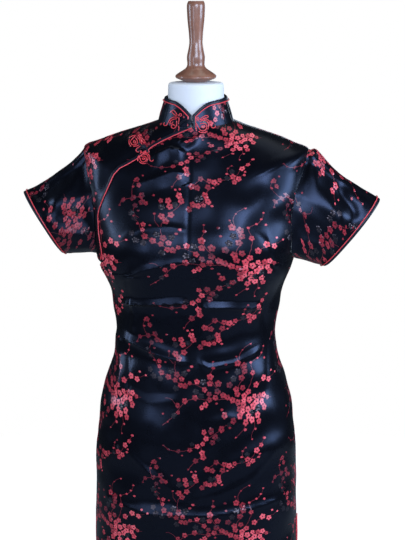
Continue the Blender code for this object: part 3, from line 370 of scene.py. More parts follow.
# How the weave lies on the front and back: at each height, how much wider the chart's millimetres are than the
# cloth's there, how far the chart is moved towards the wearer's left, and how many repeats up it is.
Lay = namedtuple("Lay", "z widened moved repeats_up")
FRONT_LAY = (
    Lay(0.430, 1.06, 0.0133, -3.02),
    Lay(0.683, 1.06, 0.0133, -2.00),
    Lay(0.868, 1.05, 0.0135, -1.21),
    Lay(0.932, 1.04, 0.0138, -1.00),
    Lay(1.040, 0.98, 0.0060, -0.555),
    Lay(1.177, 0.89, 0.0000, 0.00),
    Lay(1.280, 0.92, -0.0130, 0.43),
    Lay(1.307, 1.03, -0.0179, 0.53),
    Lay(1.3365, 1.04, -0.0205, 0.665),
    Lay(1.357, 1.00, -0.0190, 0.785),
    Lay(1.3865, 0.974, -0.0183, 1.00),
    Lay(1.430, 0.98, -0.0183, 1.25),
)
BACK_LAY = (
    Lay(0.430, 1.00, 0.000, -2.80),
    Lay(1.170, 1.00, 0.000, 0.20),
    Lay(1.430, 1.00, 0.000, 1.30),
)
FRONT_TIP = 0.1457
BACK_TIP = 0.09

# Frog closures: each stroke of red cord as places in millimetres from the middle of the frog, seen from the front.
ROSE_STROKES = (
    ((-4, -1), (-1, 1), (3, 1), (3, -2), (0, -3.5), (-3, -3), (-4, -1)),
    ((-6.7, 3.4), (-2, 5.2), (2.7, 4.7), (6, 2.6), (6.7, -1), (5.4, -6), (2, -8.8), (-2, -9.4), (-6, -7.4),
     (-9, -2.6), (-12, 2.7)),
    ((-6.7, 8), (-3, 10), (1.3, 10.7), (5.4, 10), (8.6, 7.6), (10, 3), (9.6, -2), (8.2, -6.4)),
    ((-5.4, 11.6), (-1, 13.2), (4, 13.4), (9, 12), (12.4, 8), (13.8, 3), (15, -1), (18, -3.6), (21.6, -3),
     (23.5, 0.7)),
    ((-6.7, 12), (-4, 14.6), (-1.3, 17), (4, 20), (8.4, 20), (10, 18), (7.6, 16.2), (4, 15.6), (0, 14.6)),
    ((-9.4, 9), (-11.4, 12), (-12.4, 15), (-11.4, 17.4), (-9, 16.4), (-8.4, 13.4), (-8.6, 11)),
    ((-12.7, 5), (-14.4, 1), (-14.2, -4), (-12.7, -9.4)),
    ((-9, -10), (-4, -12.6), (2, -12.8), (7, -10.6)),
)
SPRAY_STROKES = (
    ((5.4, 12), (1.3, 14.7), (-2.7, 18.8), (-2.7, 21.8), (0.7, 21.8), (4, 18), (6.9, 12.9)),
    ((9.6, 11.4), (9.4, 14.2), (11.2, 16.2), (14, 15.2), (14, 12.4), (11.8, 11.2)),
    ((8, 9.4), (1.3, 10.2), (-4.7, 7.6), (-8.4, 2.7), (-11.4, -2.7), (-15.4, -4.2), (-17.4, -1.3), (-15.6, 1.5)),
    ((5.4, 7.2), (-0.6, 6.2), (-5.4, 3.2), (-6.2, -1.2), (-3.2, -1.4), (-0.4, 2)),
    ((5.6, 3.6), (5.2, -4.6), (1.4, -9.4), (-3.4, -7.8), (-3.6, -3.6), (0.4, -2.2), (1.6, -5)),
    ((9.4, 9.2), (9.6, 2.7), (8.4, -3.6), (9.8, -9.4), (8.7, -13.4)),
)
Frog = namedtuple("Frog", "name x z turned_deg scale strokes")
FROGS = (
    Frog("frog_collar_right", -0.0330, 1.4120, 0, 1.0, SPRAY_STROKES),
    Frog("frog_collar_left", 0.0195, 1.4080, 0, 0.90, ROSE_STROKES),
    Frog("frog_chest_upper", -0.1005, 1.3785, -72, 0.82, ROSE_STROKES),
    Frog("frog_chest_lower", -0.0820, 1.3525, -12, 0.72, ROSE_STROKES),
)
FROG_CORD_RADIUS = 0.00088
Knot = namedtuple("Knot", "name x z loop")
KNOTS = (
    Knot("knot_collar", -0.0040, 1.4145, ((-19, -5), (-12, 1), (-5, 3), (2, 2), (6, -2))),
    Knot("knot_chest", -0.0840, 1.3705, ((-9, 8), (-5, 3), (0, 2), (5, -2), (7, -9))),
)
KNOT_RADIUS = 0.0045

PIECES = {}


def new_piece(name, mesh, finish, replaced):
    """Put a finished mesh in the scene as a piece that stands for nodes of the frame."""
    made = bpy.data.objects.new(name, mesh)
    bpy.context.scene.collection.objects.link(made)
    mesh.materials.clear()
    mesh.materials.append(finish)
    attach(made, "root")
    if replaced:
        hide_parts(*replaced)
    PIECES[name] = made
    return made


# The cloth's surface


def curved(before, start, end, after, part):
    """Places between start and end, by a share, on a smooth curve through all four."""
    bent = 2 * before - 5 * start + 4 * end - after
    return start + 0.5 * part * (end - before + part * (bent + part * (3 * start - before - 3 * end + after)))


def lengths_along(points):
    """How far along a line each of its points lies."""
    return np.concatenate(([0.0], np.cumsum(np.linalg.norm(np.diff(points, axis=0), axis=1))))


def ring_sizes(level):
    """The ring columns at each level, on a smooth curve through the table."""
    level = np.asarray(level, float)
    low = np.clip(level.astype(int), 0, TOP_LEVEL - 1)
    part = (level - low)[..., None]
    before, start, end, after = (SIZES[np.clip(low + step, 0, TOP_LEVEL)] for step in (-1, 0, 1, 2))
    return curved(before, start, end, after, part)


def bare_body(level, turn):
    """Points of the surface without folds. Turn is the angle from the wearer's left, by way of the front."""
    level, turn = np.broadcast_arrays(np.asarray(level, float), np.asarray(turn, float))
    side_z, front_z, back_z, half_width, front, back, squareness = np.moveaxis(ring_sizes(level), -1, 0)
    across, along = np.cos(turn), np.sin(turn)
    reach = (abs(across) ** squareness + abs(along) ** squareness) ** (-1 / squareness)
    depth = np.where(along > 0, front, back)
    end_z = np.where(along > 0, front_z, back_z)
    return np.stack(
        (half_width * reach * across, -depth * reach * along, side_z + (end_z - side_z) * along**2), axis=-1
    )


def units(vectors):
    return vectors / np.maximum(np.linalg.norm(vectors, axis=-1, keepdims=True), 1e-12)


def body_normal(level, turn):
    step = 0.02
    level = np.asarray(level, float)
    around = bare_body(level, turn + step) - bare_body(level, turn - step)
    upward = bare_body(np.minimum(level + step, TOP_LEVEL), turn) - bare_body(level - step, turn)
    return units(np.cross(upward, around))


def fold_rise(fold, x, z):
    run, climb = fold.x_2 - fold.x_1, fold.z_2 - fold.z_1
    length = math.hypot(run, climb)
    share = np.clip(((x - fold.x_1) * run + (z - fold.z_1) * climb) / length**2, 0, 1)
    bow = 4 * fold.sag * share * (1 - share)
    aside = ((z - fold.z_1) * run - (x - fold.x_1) * climb) / length + bow
    return fold.rise * np.sin(math.pi * share) ** 0.7 * np.exp(-((aside / fold.half_width) ** 2))


def swell_rise(x, z):
    return sum(
        swell.rise * np.exp(-(((x - swell.x) / swell.half_wide) ** 2) - ((z - swell.z) / swell.half_high) ** 2)
        for swell in FRONT_SWELLS
    )


def faded(value, start, end):
    """From 0 at start to 1 at end, smoothly."""
    share = np.clip((value - start) / (end - start), 0, 1)
    return share * share * (3 - 2 * share)


def crease_rise(crease, x, z):
    """How far a crease moves the cloth at places of the front view."""
    along, aside_from = (x, z) if crease.runs == "across" else (z, x)
    places, line = np.array(crease.points).T
    slope = np.gradient(line, places)
    aside = (aside_from - np.interp(along, places, line)) / np.sqrt(1 + np.interp(along, places, slope) ** 2)
    end = min(0.018, (places[-1] - places[0]) / 3)
    ends = faded(along, places[0], places[0] + end) * faded(-along, -places[-1], end - places[-1])
    wide, steep = crease.width, crease.width / 5
    if crease.kind == "groove":
        rise = -np.exp(-((aside / crease.width) ** 2))
    elif crease.kind == "lit_above":
        rise = np.where(aside > 0, np.clip(1 - aside / wide, 0, 1) ** 1.3, np.exp(np.minimum(aside, 0) / steep))
    elif crease.kind == "lit_below":
        below = np.maximum(-aside / wide, 0)
        rise = np.minimum(below, np.exp(1 - below))
    else:
        rise = np.where(aside < 0, np.clip(1 + aside / wide, 0, 1) ** 1.3, np.exp(-np.maximum(aside, 0) / steep))
    return crease.depth * ends * rise


def ripple_rise(points, seed):
    """The soft unevenness of pressed satin, from waves in set directions."""
    chance = np.random.default_rng(seed)
    total = np.zeros(points.shape[:-1])
    for ripple in RIPPLES:
        for _ in range(5):
            direction = units(chance.normal(size=3) * (1.0, 0.6, 1.0))
            phase = chance.uniform(0, 2 * math.pi)
            bend = chance.uniform(2, 5)
            place = points @ direction
            other = points @ units(chance.normal(size=3))
            phase = 2 * math.pi * place / ripple.length + phase + np.sin(other * 9) * bend / 3
            total += ripple.height / 2 * np.sin(phase)
    return total


def sizes():
    return bpy.context.scene.cheongsam


def relief(level, turn, bare):
    """Swellings, folds, creases and unevenness of the body cloth."""
    x, z = bare[..., 0], bare[..., 2]
    ahead = np.sin(turn) > 0
    total = np.where(ahead, swell_rise(x, z), 0.0)
    fade = faded(abs(np.sin(turn)), 0.02, 0.25)
    front = sum(fold_rise(fold, x, z) for fold in FRONT_FOLDS) * sizes().fold_depth
    front = front + sum(crease_rise(crease, x, z) for crease in FRONT_CREASES) * sizes().fold_depth
    back = sum(crease_rise(crease, x, z) for crease in BACK_CREASES) * sizes().fold_depth
    total = total + np.where(ahead, front, back) * fade
    near_neck = faded(-z, -1.405, -1.360)
    soft = ripple_rise(bare, 7) * sizes().unevenness * near_neck * (0.35 + 0.65 * fade)
    return total + soft


def cloth(level, turn, out=0.0):
    bare = bare_body(level, turn)
    return bare + body_normal(level, turn) * (relief(level, turn, bare) + out)[..., None]


def smooth_cloth(level, turn, out=0.0):
    """The surface with the frame's own swellings alone, for what the pressed cloth lies on."""
    bare = bare_body(level, turn)
    rise = np.where(np.sin(turn) > 0, swell_rise(bare[..., 0], bare[..., 2]), 0.0)
    return bare + body_normal(level, turn) * (rise + out)[..., None]


def arc_turn(level, turn, distance):
    step = 0.01
    chord = np.linalg.norm(bare_body(level, turn + step) - bare_body(level, turn - step), axis=-1)
    return distance * 2 * step / chord


def turn_at_edge(level, edge, middle, side):
    """The turn between the middle of a panel and its side where each ring crosses an edge line."""
    heights, places = np.array(edge).T
    inside = np.full(np.shape(level), float(middle))
    outside = np.full(np.shape(level), float(side))
    sign = math.copysign(1, math.cos(side))
    for _ in range(34):
        halfway = (inside + outside) / 2
        point = bare_body(level, halfway)
        within = sign * (point[..., 0] - np.interp(point[..., 2], heights, places)) < 0
        inside = np.where(within, halfway, inside)
        outside = np.where(within, outside, halfway)
    return outside


def mirrored_edge(edge):
    return tuple(EdgePoint(point.z, -point.x) for point in edge)


FRONT, LEFT, RIGHT, BACK = math.pi / 2, 0.0, math.pi, -math.pi / 2
RIGHT_FROM_BACK = -math.pi


def armhole_turn(level, edge, middle, side):
    wanted = edge if math.cos(side) > 0 else mirrored_edge(edge)
    between = (level > LEVEL["underarm"]) & (level < LEVEL["shoulder_tip"])
    return np.where(between, turn_at_edge(level, wanted, middle, side), side)


def trim_width(level):
    """What the slit's opening and its binding take off a panel's side."""
    below = np.maximum(0.0, 1 - level / LEVEL["slit_top"])
    binding = np.where(level <= LEVEL["slit_top"], BINDING_WIDTH + SEAM_GAP, 0.0)
    return SEAM_GAP / 2 + SLIT_OPENING * below + binding


def front_limits(level):
    left = armhole_turn(level, FRONT_ARMHOLE, FRONT, LEFT)
    low = level <= LEVEL["under_bust"]
    right = np.where(low, RIGHT, turn_at_edge(level, PLACKET, FRONT, RIGHT))
    taken = np.where(low, trim_width(level), SEAM_GAP / 2)
    return left + arc_turn(level, left, trim_width(level)), right - arc_turn(level, right, taken)


def back_limits(level):
    left = armhole_turn(level, BACK_ARMHOLE, BACK, LEFT)
    right = armhole_turn(level, BACK_ARMHOLE, BACK, RIGHT_FROM_BACK)
    taken = trim_width(level)
    return right + arc_turn(level, right, taken), left - arc_turn(level, left, taken)


def underlap_limits(level):
    placket = turn_at_edge(level, PLACKET, FRONT, RIGHT)
    side = armhole_turn(level, FRONT_ARMHOLE, FRONT, RIGHT)
    return placket - arc_turn(level, placket, UNDERLAP), side - arc_turn(level, side, SEAM_GAP / 2)


def underlap_sink(level, turn):
    placket = turn_at_edge(level, PLACKET, FRONT, RIGHT)
    beyond = np.linalg.norm(bare_body(level, turn) - bare_body(level, placket), axis=-1)
    low = 1 - np.clip((level - LEVEL["under_bust"] - 0.2) / 0.6, 0, 1)
    fade = np.maximum(1 - faded(beyond, 0.008, 0.030), low)
    return UNDERLAP_DEPTH * np.where(turn < placket, 1.0, fade) + UNDERARM_DEPTH * low


# Making meshes


def grid_faces(rows, columns, wrap=False):
    """The corners of each square of a grid of points, in one turning direction."""
    index = np.arange(rows * columns).reshape(rows, columns)
    beside = np.roll(index, -1, axis=1)
    last = columns if wrap else columns - 1
    return np.stack(
        (index[:-1, :last], beside[:-1, :last], beside[1:, :last], index[1:, :last]), axis=-1
    ).reshape(-1, 4)


def mesh_from(name, points, faces, flat_places=None):
    """A smooth mesh that faces outwards, with the cloth's flat places in metres as its UV map."""
    mesh = bpy.data.meshes.new(name)
    mesh.from_pydata(np.asarray(points).tolist(), [], [list(face) for face in faces])
    if flat_places is not None:
        layer = mesh.uv_layers.new(name="cloth")
        corners = np.empty(len(mesh.loops), dtype=np.int32)
        mesh.loops.foreach_get("vertex_index", corners)
        layer.data.foreach_set("uv", np.asarray(flat_places, dtype=np.float32)[corners].ravel())
    work = bmesh.new()
    work.from_mesh(mesh)
    bmesh.ops.recalc_face_normals(work, faces=work.faces)
    work.to_mesh(mesh)
    work.free()
    mesh.shade_smooth()
    mesh.set_sharp_from_angle(angle=math.radians(SHARP_DEGREES))
    return mesh


def cloth_wall(name, outer, inner, flat_places, wrap=False):
    """A closed wall of cloth between two grids of points."""
    rows, columns = outer.shape[:2]
    count = rows * columns
    face = grid_faces(rows, columns, wrap)
    faces = [face, face + count]
    index = np.arange(count).reshape(rows, columns)
    borders = [index[0], index[-1]]
    if wrap:
        borders = [np.append(border, border[0]) for border in borders]
    else:
        borders += [index[:, 0], index[:, -1]]
    for border in borders:
        faces.append(np.stack((border[:-1], border[1:], border[1:] + count, border[:-1] + count), axis=-1))
    places = flat_places.reshape(-1, 2)
    return mesh_from(
        name,
        np.concatenate((outer.reshape(-1, 3), inner.reshape(-1, 3))),
        np.concatenate(faces).tolist(),
        np.concatenate((places, places)),
    )


def grid_area(grid, wrap=False):
    """The area of a grid of points."""
    if wrap:
        grid = np.concatenate((grid, grid[:, :1]), axis=1)
    one = np.cross(grid[1:, 1:] - grid[:-1, :-1], grid[1:, :-1] - grid[:-1, 1:])
    return float(np.linalg.norm(one, axis=-1).sum() / 2)


class FlatMap:
    """Finds places on a grid of cloth from its flat places: u across it and v up it."""

    def __init__(self, points, normals, u, v):
        self.points, self.normals, self.u, self.v = points, normals, u, v

    def place(self, u, v):
        """Points, normals and whether each lies on the cloth. Those beyond its edge are moved to the edge."""
        found = [self.part(u[start : start + 15000], v[start : start + 15000]) for start in range(0, len(u), 15000)]
        return tuple(np.concatenate(each) for each in zip(*found))

    def part(self, u, v):
        rows, columns = self.u.shape
        numbers = np.arange(columns)
        column = np.array([np.interp(u, self.u[row], numbers) for row in range(rows)])
        height = np.array([np.interp(column[row], numbers, self.v[row]) for row in range(rows)])
        low = np.clip((height < v).sum(axis=0) - 1, 0, rows - 2)
        each = np.arange(len(u))
        span = height[low + 1, each] - height[low, each]
        share = np.clip((v - height[low, each]) / np.where(abs(span) < 1e-9, 1e-9, span), 0, 1)
        where = column[low, each] * (1 - share) + column[low + 1, each] * share
        left = np.clip(where.astype(int), 0, columns - 2)
        over = where - left
        inside = (where > 0.02) & (where < columns - 1.02) & (v > height[0]) & (v < height[-1])

        def blended(grid):
            lower = grid[low, left] * (1 - over)[:, None] + grid[low, left + 1] * over[:, None]
            upper = grid[low + 1, left] * (1 - over)[:, None] + grid[low + 1, left + 1] * over[:, None]
            return lower * (1 - share)[:, None] + upper * share[:, None]

        return blended(self.points), units(blended(self.normals)), inside


def sweep_mesh(points, sides, normals, section, cyclic=False):
    """A closed tube along points. Each row of the section is its outline there, as places aside and out."""
    points, sides, normals = (np.asarray(each) for each in (points, sides, normals))
    section = np.broadcast_to(section, (len(points), *np.shape(section)[-2:]))
    rings = points[:, None] + sides[:, None] * section[..., :1] + normals[:, None] * section[..., 1:]
    rows, count = rings.shape[:2]
    lengths = lengths_along(points)
    around = np.arange(count) / count * 0.006
    flat = np.stack(np.broadcast_arrays(around[None, :], lengths[:, None]), axis=-1).reshape(-1, 2)
    faces = grid_faces(rows, count, True).tolist()
    if cyclic:
        first, last = np.arange(count), np.arange(count) + (rows - 1) * count
        faces += np.stack((last, np.roll(last, -1), np.roll(first, -1), first), axis=-1).tolist()
    else:
        faces += [list(range(count)), list(range((rows - 1) * count, rows * count))]
    return rings.reshape(-1, 3), faces, flat


def directions(points, cyclic=False):
    points = np.asarray(points)
    if cyclic:
        return units(np.roll(points, -1, axis=0) - np.roll(points, 1, axis=0))
    return units(np.gradient(points, axis=0))


def smooth_line(points, step, cyclic=False):
    """Points at even steps on a smooth curve through the given ones."""
    points = np.asarray(points, float)
    if cyclic:
        ring = np.vstack((points[-1:], points, points[:2]))
    else:
        ring = np.vstack((2 * points[:1] - points[1:2], points, 2 * points[-1:] - points[-2:-1]))
    pieces = []
    for before, start, end, after in zip(ring, ring[1:], ring[2:], ring[3:]):
        count = max(2, int(np.linalg.norm(end - start) / step * 1.5))
        part = np.linspace(0, 1, count, endpoint=False)[:, None]
        pieces.append(curved(before, start, end, after, part))
    line = np.vstack(pieces + [points[:1] if cyclic else points[-1:]])
    lengths = lengths_along(line)
    wanted = np.linspace(0, lengths[-1], max(3, int(lengths[-1] / step)) + 1)
    even = np.stack([np.interp(wanted, lengths, line[:, axis]) for axis in range(line.shape[1])], axis=-1)
    return even[:-1] if cyclic else even


def round_section(radius, count=8):
    angle = np.arange(count) * 2 * math.pi / count
    return np.stack((radius * np.cos(angle), radius * np.sin(angle)), axis=-1)


def twisted_section(radius, length, pitch, strands=2, count=8):
    """The outline at each place along a twisted cord: strands that turn as the cord runs on."""
    angle = np.arange(count) * 2 * math.pi / count
    turned = 2 * math.pi * np.asarray(length)[:, None] / pitch
    reach = radius * (0.86 + 0.14 * np.cos(strands * (angle[None, :] - turned)))
    return np.stack((reach * np.cos(angle), reach * np.sin(angle)), axis=-1)


def cord_parts(line, radius, normals, twisted=True, cyclic=False):
    """A cord along a line of points, with its corners, faces and flat places."""
    heading = directions(line, cyclic)
    sides = units(np.cross(heading, normals))
    out = np.cross(sides, heading)
    lengths = lengths_along(line)
    if twisted:
        pitch = sizes().cord_pitch
        if cyclic:
            whole = lengths[-1] + np.linalg.norm(line[0] - line[-1])
            pitch = whole / max(1, round(whole / pitch))
        section = twisted_section(radius, lengths, pitch)
    else:
        section = round_section(radius)
    return sweep_mesh(line, sides, out, section, cyclic)


def joined(parts):
    """One list of corners, faces and flat places from several."""
    corners, faces, flats, start = [], [], [], 0
    for points, part_faces, flat in parts:
        corners.append(points)
        faces += [[corner + start for corner in face] for face in part_faces]
        flats.append(flat)
        start += len(points)
    return np.concatenate(corners), faces, np.concatenate(flats)


# Finishes


def start_finish(name, colour, roughness):
    made = bpy.data.materials.new(name)
    made.use_nodes = True
    shader = made.node_tree.nodes["Principled BSDF"]
    shader.inputs["Base Color"].default_value = (*colour, 1.0)
    shader.inputs["Roughness"].default_value = roughness
    made.diffuse_color = (*colour, 1.0)
    return made, made.node_tree, shader


def node(tree, kind, settings=None, **inputs):
    """Add a shader node, with its own settings and its sockets' values or links by name."""
    made = tree.nodes.new(kind)
    for key, value in (settings or {}).items():
        setattr(made, key, value)
    for key, value in inputs.items():
        socket = made.inputs[key.replace("_", " ")]
        if isinstance(value, bpy.types.NodeSocket):
            tree.links.new(value, socket)
        else:
            socket.default_value = value
    return made


def stretched(tree, source, scale):
    return node(tree, "ShaderNodeMapping", Vector=source, Scale=scale).outputs["Vector"]


def mixed(tree, share, first, second):
    """A colour between two, by a share."""
    made = tree.nodes.new("ShaderNodeMix")
    made.data_type = "RGBA"
    tree.links.new(share, made.inputs["Factor"])
    for index, value in ((6, first), (7, second)):
        if isinstance(value, bpy.types.NodeSocket):
            tree.links.new(value, made.inputs[index])
        else:
            made.inputs[index].default_value = (*value, 1.0)
    return made.outputs[2]


def ranged(tree, value, low, high):
    return node(tree, "ShaderNodeMapRange", Value=value, To_Min=low, To_Max=high).outputs["Result"]


def thread_bump(tree, shader, vector, scale, strength, depth):
    threads = node(tree, "ShaderNodeTexNoise", Vector=stretched(tree, vector, scale), Scale=1.0, Detail=2.0)
    bump = node(tree, "ShaderNodeBump", Height=threads.outputs["Fac"], Strength=strength, Distance=depth)
    tree.links.new(bump.outputs["Normal"], shader.inputs["Normal"])
    return threads.outputs["Fac"]


def make_ground_satin():
    """Near-black navy satin: fine warp threads that run down the cloth, and a soft uneven gloss."""
    dark = tuple(sizes().ground_colour)
    made, tree, shader = start_finish("plum_brocade_ground", dark, 0.34)
    flat = node(tree, "ShaderNodeUVMap", {"uv_map": "cloth"}).outputs["UV"]
    threads = thread_bump(tree, shader, flat, (2600.0, 160.0, 1.0), 0.22, 0.00005)
    cloudy = node(tree, "ShaderNodeTexNoise", Vector=flat, Scale=26.0, Detail=3.0, Roughness=0.6).outputs["Fac"]
    colour = mixed(tree, ranged(tree, cloudy, 0.0, 1.0), dark, tuple(part * 2.0 for part in dark))
    woven = mixed(tree, ranged(tree, threads, 0.0, 0.5), colour, tuple(part * 3.0 for part in dark))
    tree.links.new(woven, shader.inputs["Base Color"])
    tree.links.new(ranged(tree, cloudy, 0.22, 0.34), shader.inputs["Roughness"])
    shader.inputs["Anisotropic"].default_value = 0.45
    shader.inputs["Specular IOR Level"].default_value = 0.24
    shader.inputs["Specular Tint"].default_value = (0.50, 0.62, 1.0, 1.0)
    shader.inputs["Sheen Weight"].default_value = 0.015
    shader.inputs["Sheen Roughness"].default_value = 0.35
    shader.inputs["Sheen Tint"].default_value = (0.8, 0.85, 0.75, 1.0)
    tangent = node(tree, "ShaderNodeTangent", {"direction_type": "UV_MAP", "uv_map": "cloth"})
    tree.links.new(tangent.outputs["Tangent"], shader.inputs["Tangent"])
    return made


def make_blossom_silk():
    """Floated red silk. Each blossom's colour comes from its tone, dark for the ones woven in navy. For the red ones
    the tone is partly painted light: coral to pink is painted highlight, and dark red is painted shade.
    """
    made, tree, shader = start_finish("plum_brocade_blossom", tuple(sizes().blossom_colour), 0.30)
    tone = node(tree, "ShaderNodeAttribute", {"attribute_name": "tone"}).outputs["Fac"]
    ramp = node(tree, "ShaderNodeValToRGB", Fac=tone)
    red = tuple(sizes().blossom_colour)
    # The ramp's dark reds are partly painted shade, and its coral and pink ends are painted highlight.
    shades = (
        (0.00, (0.0010, 0.0014, 0.0030)),
        (0.14, (0.0120, 0.0120, 0.0200)),
        (0.25, (red[0] * 0.26, red[1] * 0.32, red[2] * 0.45)),
        (0.50, (red[0] * 0.56, red[1] * 0.70, red[2] * 0.76)),
        (0.75, (red[0] * 1.10, red[1] * 1.90, red[2] * 1.75)),
        (1.00, (red[0] * 1.60, red[1] * 4.20, red[2] * 3.40)),
    )
    while len(ramp.color_ramp.elements) < len(shades):
        ramp.color_ramp.elements.new(0.5)
    for element, (place, colour) in zip(ramp.color_ramp.elements, shades):
        element.position = place
        element.color = (*(min(1.0, part) for part in colour), 1.0)
    where = node(tree, "ShaderNodeTexCoord").outputs["Object"]
    threads = thread_bump(tree, shader, where, (2200.0, 2200.0, 350.0), 0.35, 0.00008)
    uneven = mixed(tree, ranged(tree, threads, 0.0, 0.35), ramp.outputs["Color"], (0.004, 0.002, 0.003))
    tree.links.new(uneven, shader.inputs["Base Color"])
    shader.inputs["Specular IOR Level"].default_value = 0.55
    shader.inputs["Specular Tint"].default_value = (1.0, 0.80, 0.86, 1.0)
    shader.inputs["Anisotropic"].default_value = 0.3
    return made


def make_binding_satin():
    """Plain black satin cut on the bias, so its threads run slantwise along the edge."""
    made, tree, shader = start_finish("black_satin", (0.006, 0.007, 0.012), 0.36)
    flat = node(tree, "ShaderNodeUVMap", {"uv_map": "cloth"}).outputs["UV"]
    turned_flat = node(tree, "ShaderNodeMapping", Vector=flat, Rotation=(0.0, 0.0, 0.785)).outputs["Vector"]
    threads = thread_bump(tree, shader, turned_flat, (2400.0, 220.0, 1.0), 0.25, 0.00006)
    tree.links.new(mixed(tree, threads, (0.004, 0.005, 0.008), (0.014, 0.016, 0.024)), shader.inputs["Base Color"])
    shader.inputs["Specular IOR Level"].default_value = 0.24
    shader.inputs["Specular Tint"].default_value = (0.75, 0.85, 1.0, 1.0)
    return made


def make_red_cord():
    """Twisted red satin cord, a little darker and lighter along its length."""
    red = tuple(sizes().cord_colour)
    made, tree, shader = start_finish("red_piping", red, 0.42)
    flat = node(tree, "ShaderNodeUVMap", {"uv_map": "cloth"}).outputs["UV"]
    threads = thread_bump(tree, shader, flat, (1400.0, 2400.0, 1.0), 0.4, 0.00012)
    patchy = node(tree, "ShaderNodeTexNoise", Vector=flat, Scale=220.0, Detail=2.0).outputs["Fac"]
    body = mixed(tree, patchy, tuple(part * 0.8 for part in red), tuple(min(1.0, part * 1.35) for part in red))
    twisted = mixed(tree, ranged(tree, threads, 0.0, 0.5), body, (0.30, 0.006, 0.012))
    tree.links.new(twisted, shader.inputs["Base Color"])
    shader.inputs["Specular IOR Level"].default_value = 0.8
    shader.inputs["Sheen Weight"].default_value = 0.15
    shader.inputs["Sheen Tint"].default_value = (1.0, 0.5, 0.5, 1.0)
    return made


def make_jersey():
    """White stretch jersey: fine ribs that run up the form and a faint mottle where it has been handled."""
    white = tuple(sizes().jersey_colour)
    made, tree, shader = start_finish("white_jersey", white, 0.86)
    flat = node(tree, "ShaderNodeUVMap", {"uv_map": "cloth"}).outputs["UV"]
    thread_bump(tree, shader, flat, (1500.0, 420.0, 1.0), 0.25, 0.00015)
    patchy = node(tree, "ShaderNodeTexNoise", Vector=flat, Scale=16.0, Detail=3.0).outputs["Fac"]
    tree.links.new(mixed(tree, patchy, white, tuple(part * 0.94 for part in white)), shader.inputs["Base Color"])
    shader.inputs["Sheen Weight"].default_value = 0.15
    return made


def make_turned_wood():
    """Varnished brown wood with its grain along the turning."""
    brown = tuple(sizes().wood_colour)
    made, tree, shader = start_finish("turned_wood", brown, 0.38)
    where = node(tree, "ShaderNodeTexCoord").outputs["Object"]
    grain_way = stretched(tree, where, (95.0, 95.0, 9.0))
    long_grain = node(
        tree, "ShaderNodeTexNoise", Vector=grain_way, Scale=1.0, Detail=5.0, Roughness=0.6
    ).outputs["Fac"]
    pores = node(
        tree, "ShaderNodeTexNoise", Vector=stretched(tree, where, (900.0, 900.0, 60.0)), Scale=1.0, Detail=2.0
    ).outputs["Fac"]
    grained = mixed(tree, long_grain, tuple(part * 0.42 for part in brown), tuple(part * 1.55 for part in brown))
    tree.links.new(
        mixed(tree, ranged(tree, pores, -0.2, 0.6), grained, tuple(part * 0.3 for part in brown)),
        shader.inputs["Base Color"],
    )
    tree.links.new(ranged(tree, long_grain, 0.30, 0.48), shader.inputs["Roughness"])
    bump = node(tree, "ShaderNodeBump", Height=pores, Strength=0.15, Distance=0.0001)
    tree.links.new(bump.outputs["Normal"], shader.inputs["Normal"])
    shader.inputs["Coat Weight"].default_value = 0.55
    shader.inputs["Coat Roughness"].default_value = 0.16
    return made


MAKERS = {
    "ground": make_ground_satin,
    "blossom": make_blossom_silk,
    "binding": make_binding_satin,
    "cord": make_red_cord,
    "jersey": make_jersey,
    "wood": make_turned_wood,
}
FINISHES = {}


def finish(name):
    if name not in FINISHES:
        FINISHES[name] = MAKERS[name]()
    return FINISHES[name]


# The garment


def fine_levels(start, stop, spacing):
    """Ring numbers close enough together that the cloth's rows are about this far apart, half of it at the waist."""
    levels = []
    for low in range(start, stop):
        high_row, low_row = SIZES[low + 1], SIZES[low]
        rise = max(high_row[0] - low_row[0], high_row[1] - low_row[1], high_row[2] - low_row[2])
        slant = math.hypot(rise, high_row[3] - low_row[3])
        first = low + SLIT_STEP if low == LEVEL["slit_top"] else low
        if first != low:
            levels.append(float(low))
        wanted = spacing / 2 if 0.97 < high_row[0] and low_row[0] < 1.13 else spacing
        levels += list(np.linspace(first, low + 1, max(2, math.ceil(slant / wanted)), endpoint=False))
    return np.array(levels + [float(stop)])


def arc_from(level, turn, middle):
    """How far round its ring each point lies from the front's or back's middle, + towards the wearer's left."""
    turns = np.linspace(-0.35, math.pi + 0.35, 500) if middle > 0 else np.linspace(-math.pi - 0.35, 0.35, 500)
    result = np.empty(turn.shape)
    for row in range(len(turn)):
        ring = bare_body(float(level[row, 0]), turns)
        lengths = lengths_along(ring)
        lengths -= np.interp(middle, turns, lengths)
        result[row] = np.interp(turn[row], turns, lengths)
    return -result if middle > 0 else result


def grid_normals(grid, wrap=False):
    around = np.roll(grid, -1, axis=1) - np.roll(grid, 1, axis=1) if wrap else np.gradient(grid, axis=1)
    return units(np.cross(np.gradient(grid, axis=0), around))


CLOTHS = {}


def make_panel(name, levels, limits, middle, sink=None):
    start, stop = limits(levels)
    share = np.linspace(0, 1, PANEL_COLUMNS[name] + 1)
    turn = start[:, None] + (stop - start)[:, None] * share
    level = np.broadcast_to(levels[:, None], turn.shape)
    depth = sink(level, turn) if sink else 0.0
    outer = cloth(level, turn, -depth)
    inner = cloth(level, turn, -depth - WALL)
    bare = bare_body(level, turn)
    flat = np.stack((arc_from(level, turn, middle), bare[..., 2]), axis=-1)
    normals = grid_normals(outer)
    facing = body_normal(level, turn)
    normals = normals * np.sign((normals * facing).sum(axis=-1, keepdims=True))
    order = slice(None, None, -1) if flat[0, 0, 0] > flat[0, -1, 0] else slice(None)
    CLOTHS[name] = FlatMap(outer[:, order], normals[:, order], flat[:, order, 0], flat[:, order, 1])
    mesh = cloth_wall(name, outer, inner, flat)
    return new_piece(name + "_cloth", mesh, finish("ground"), [name]), outer


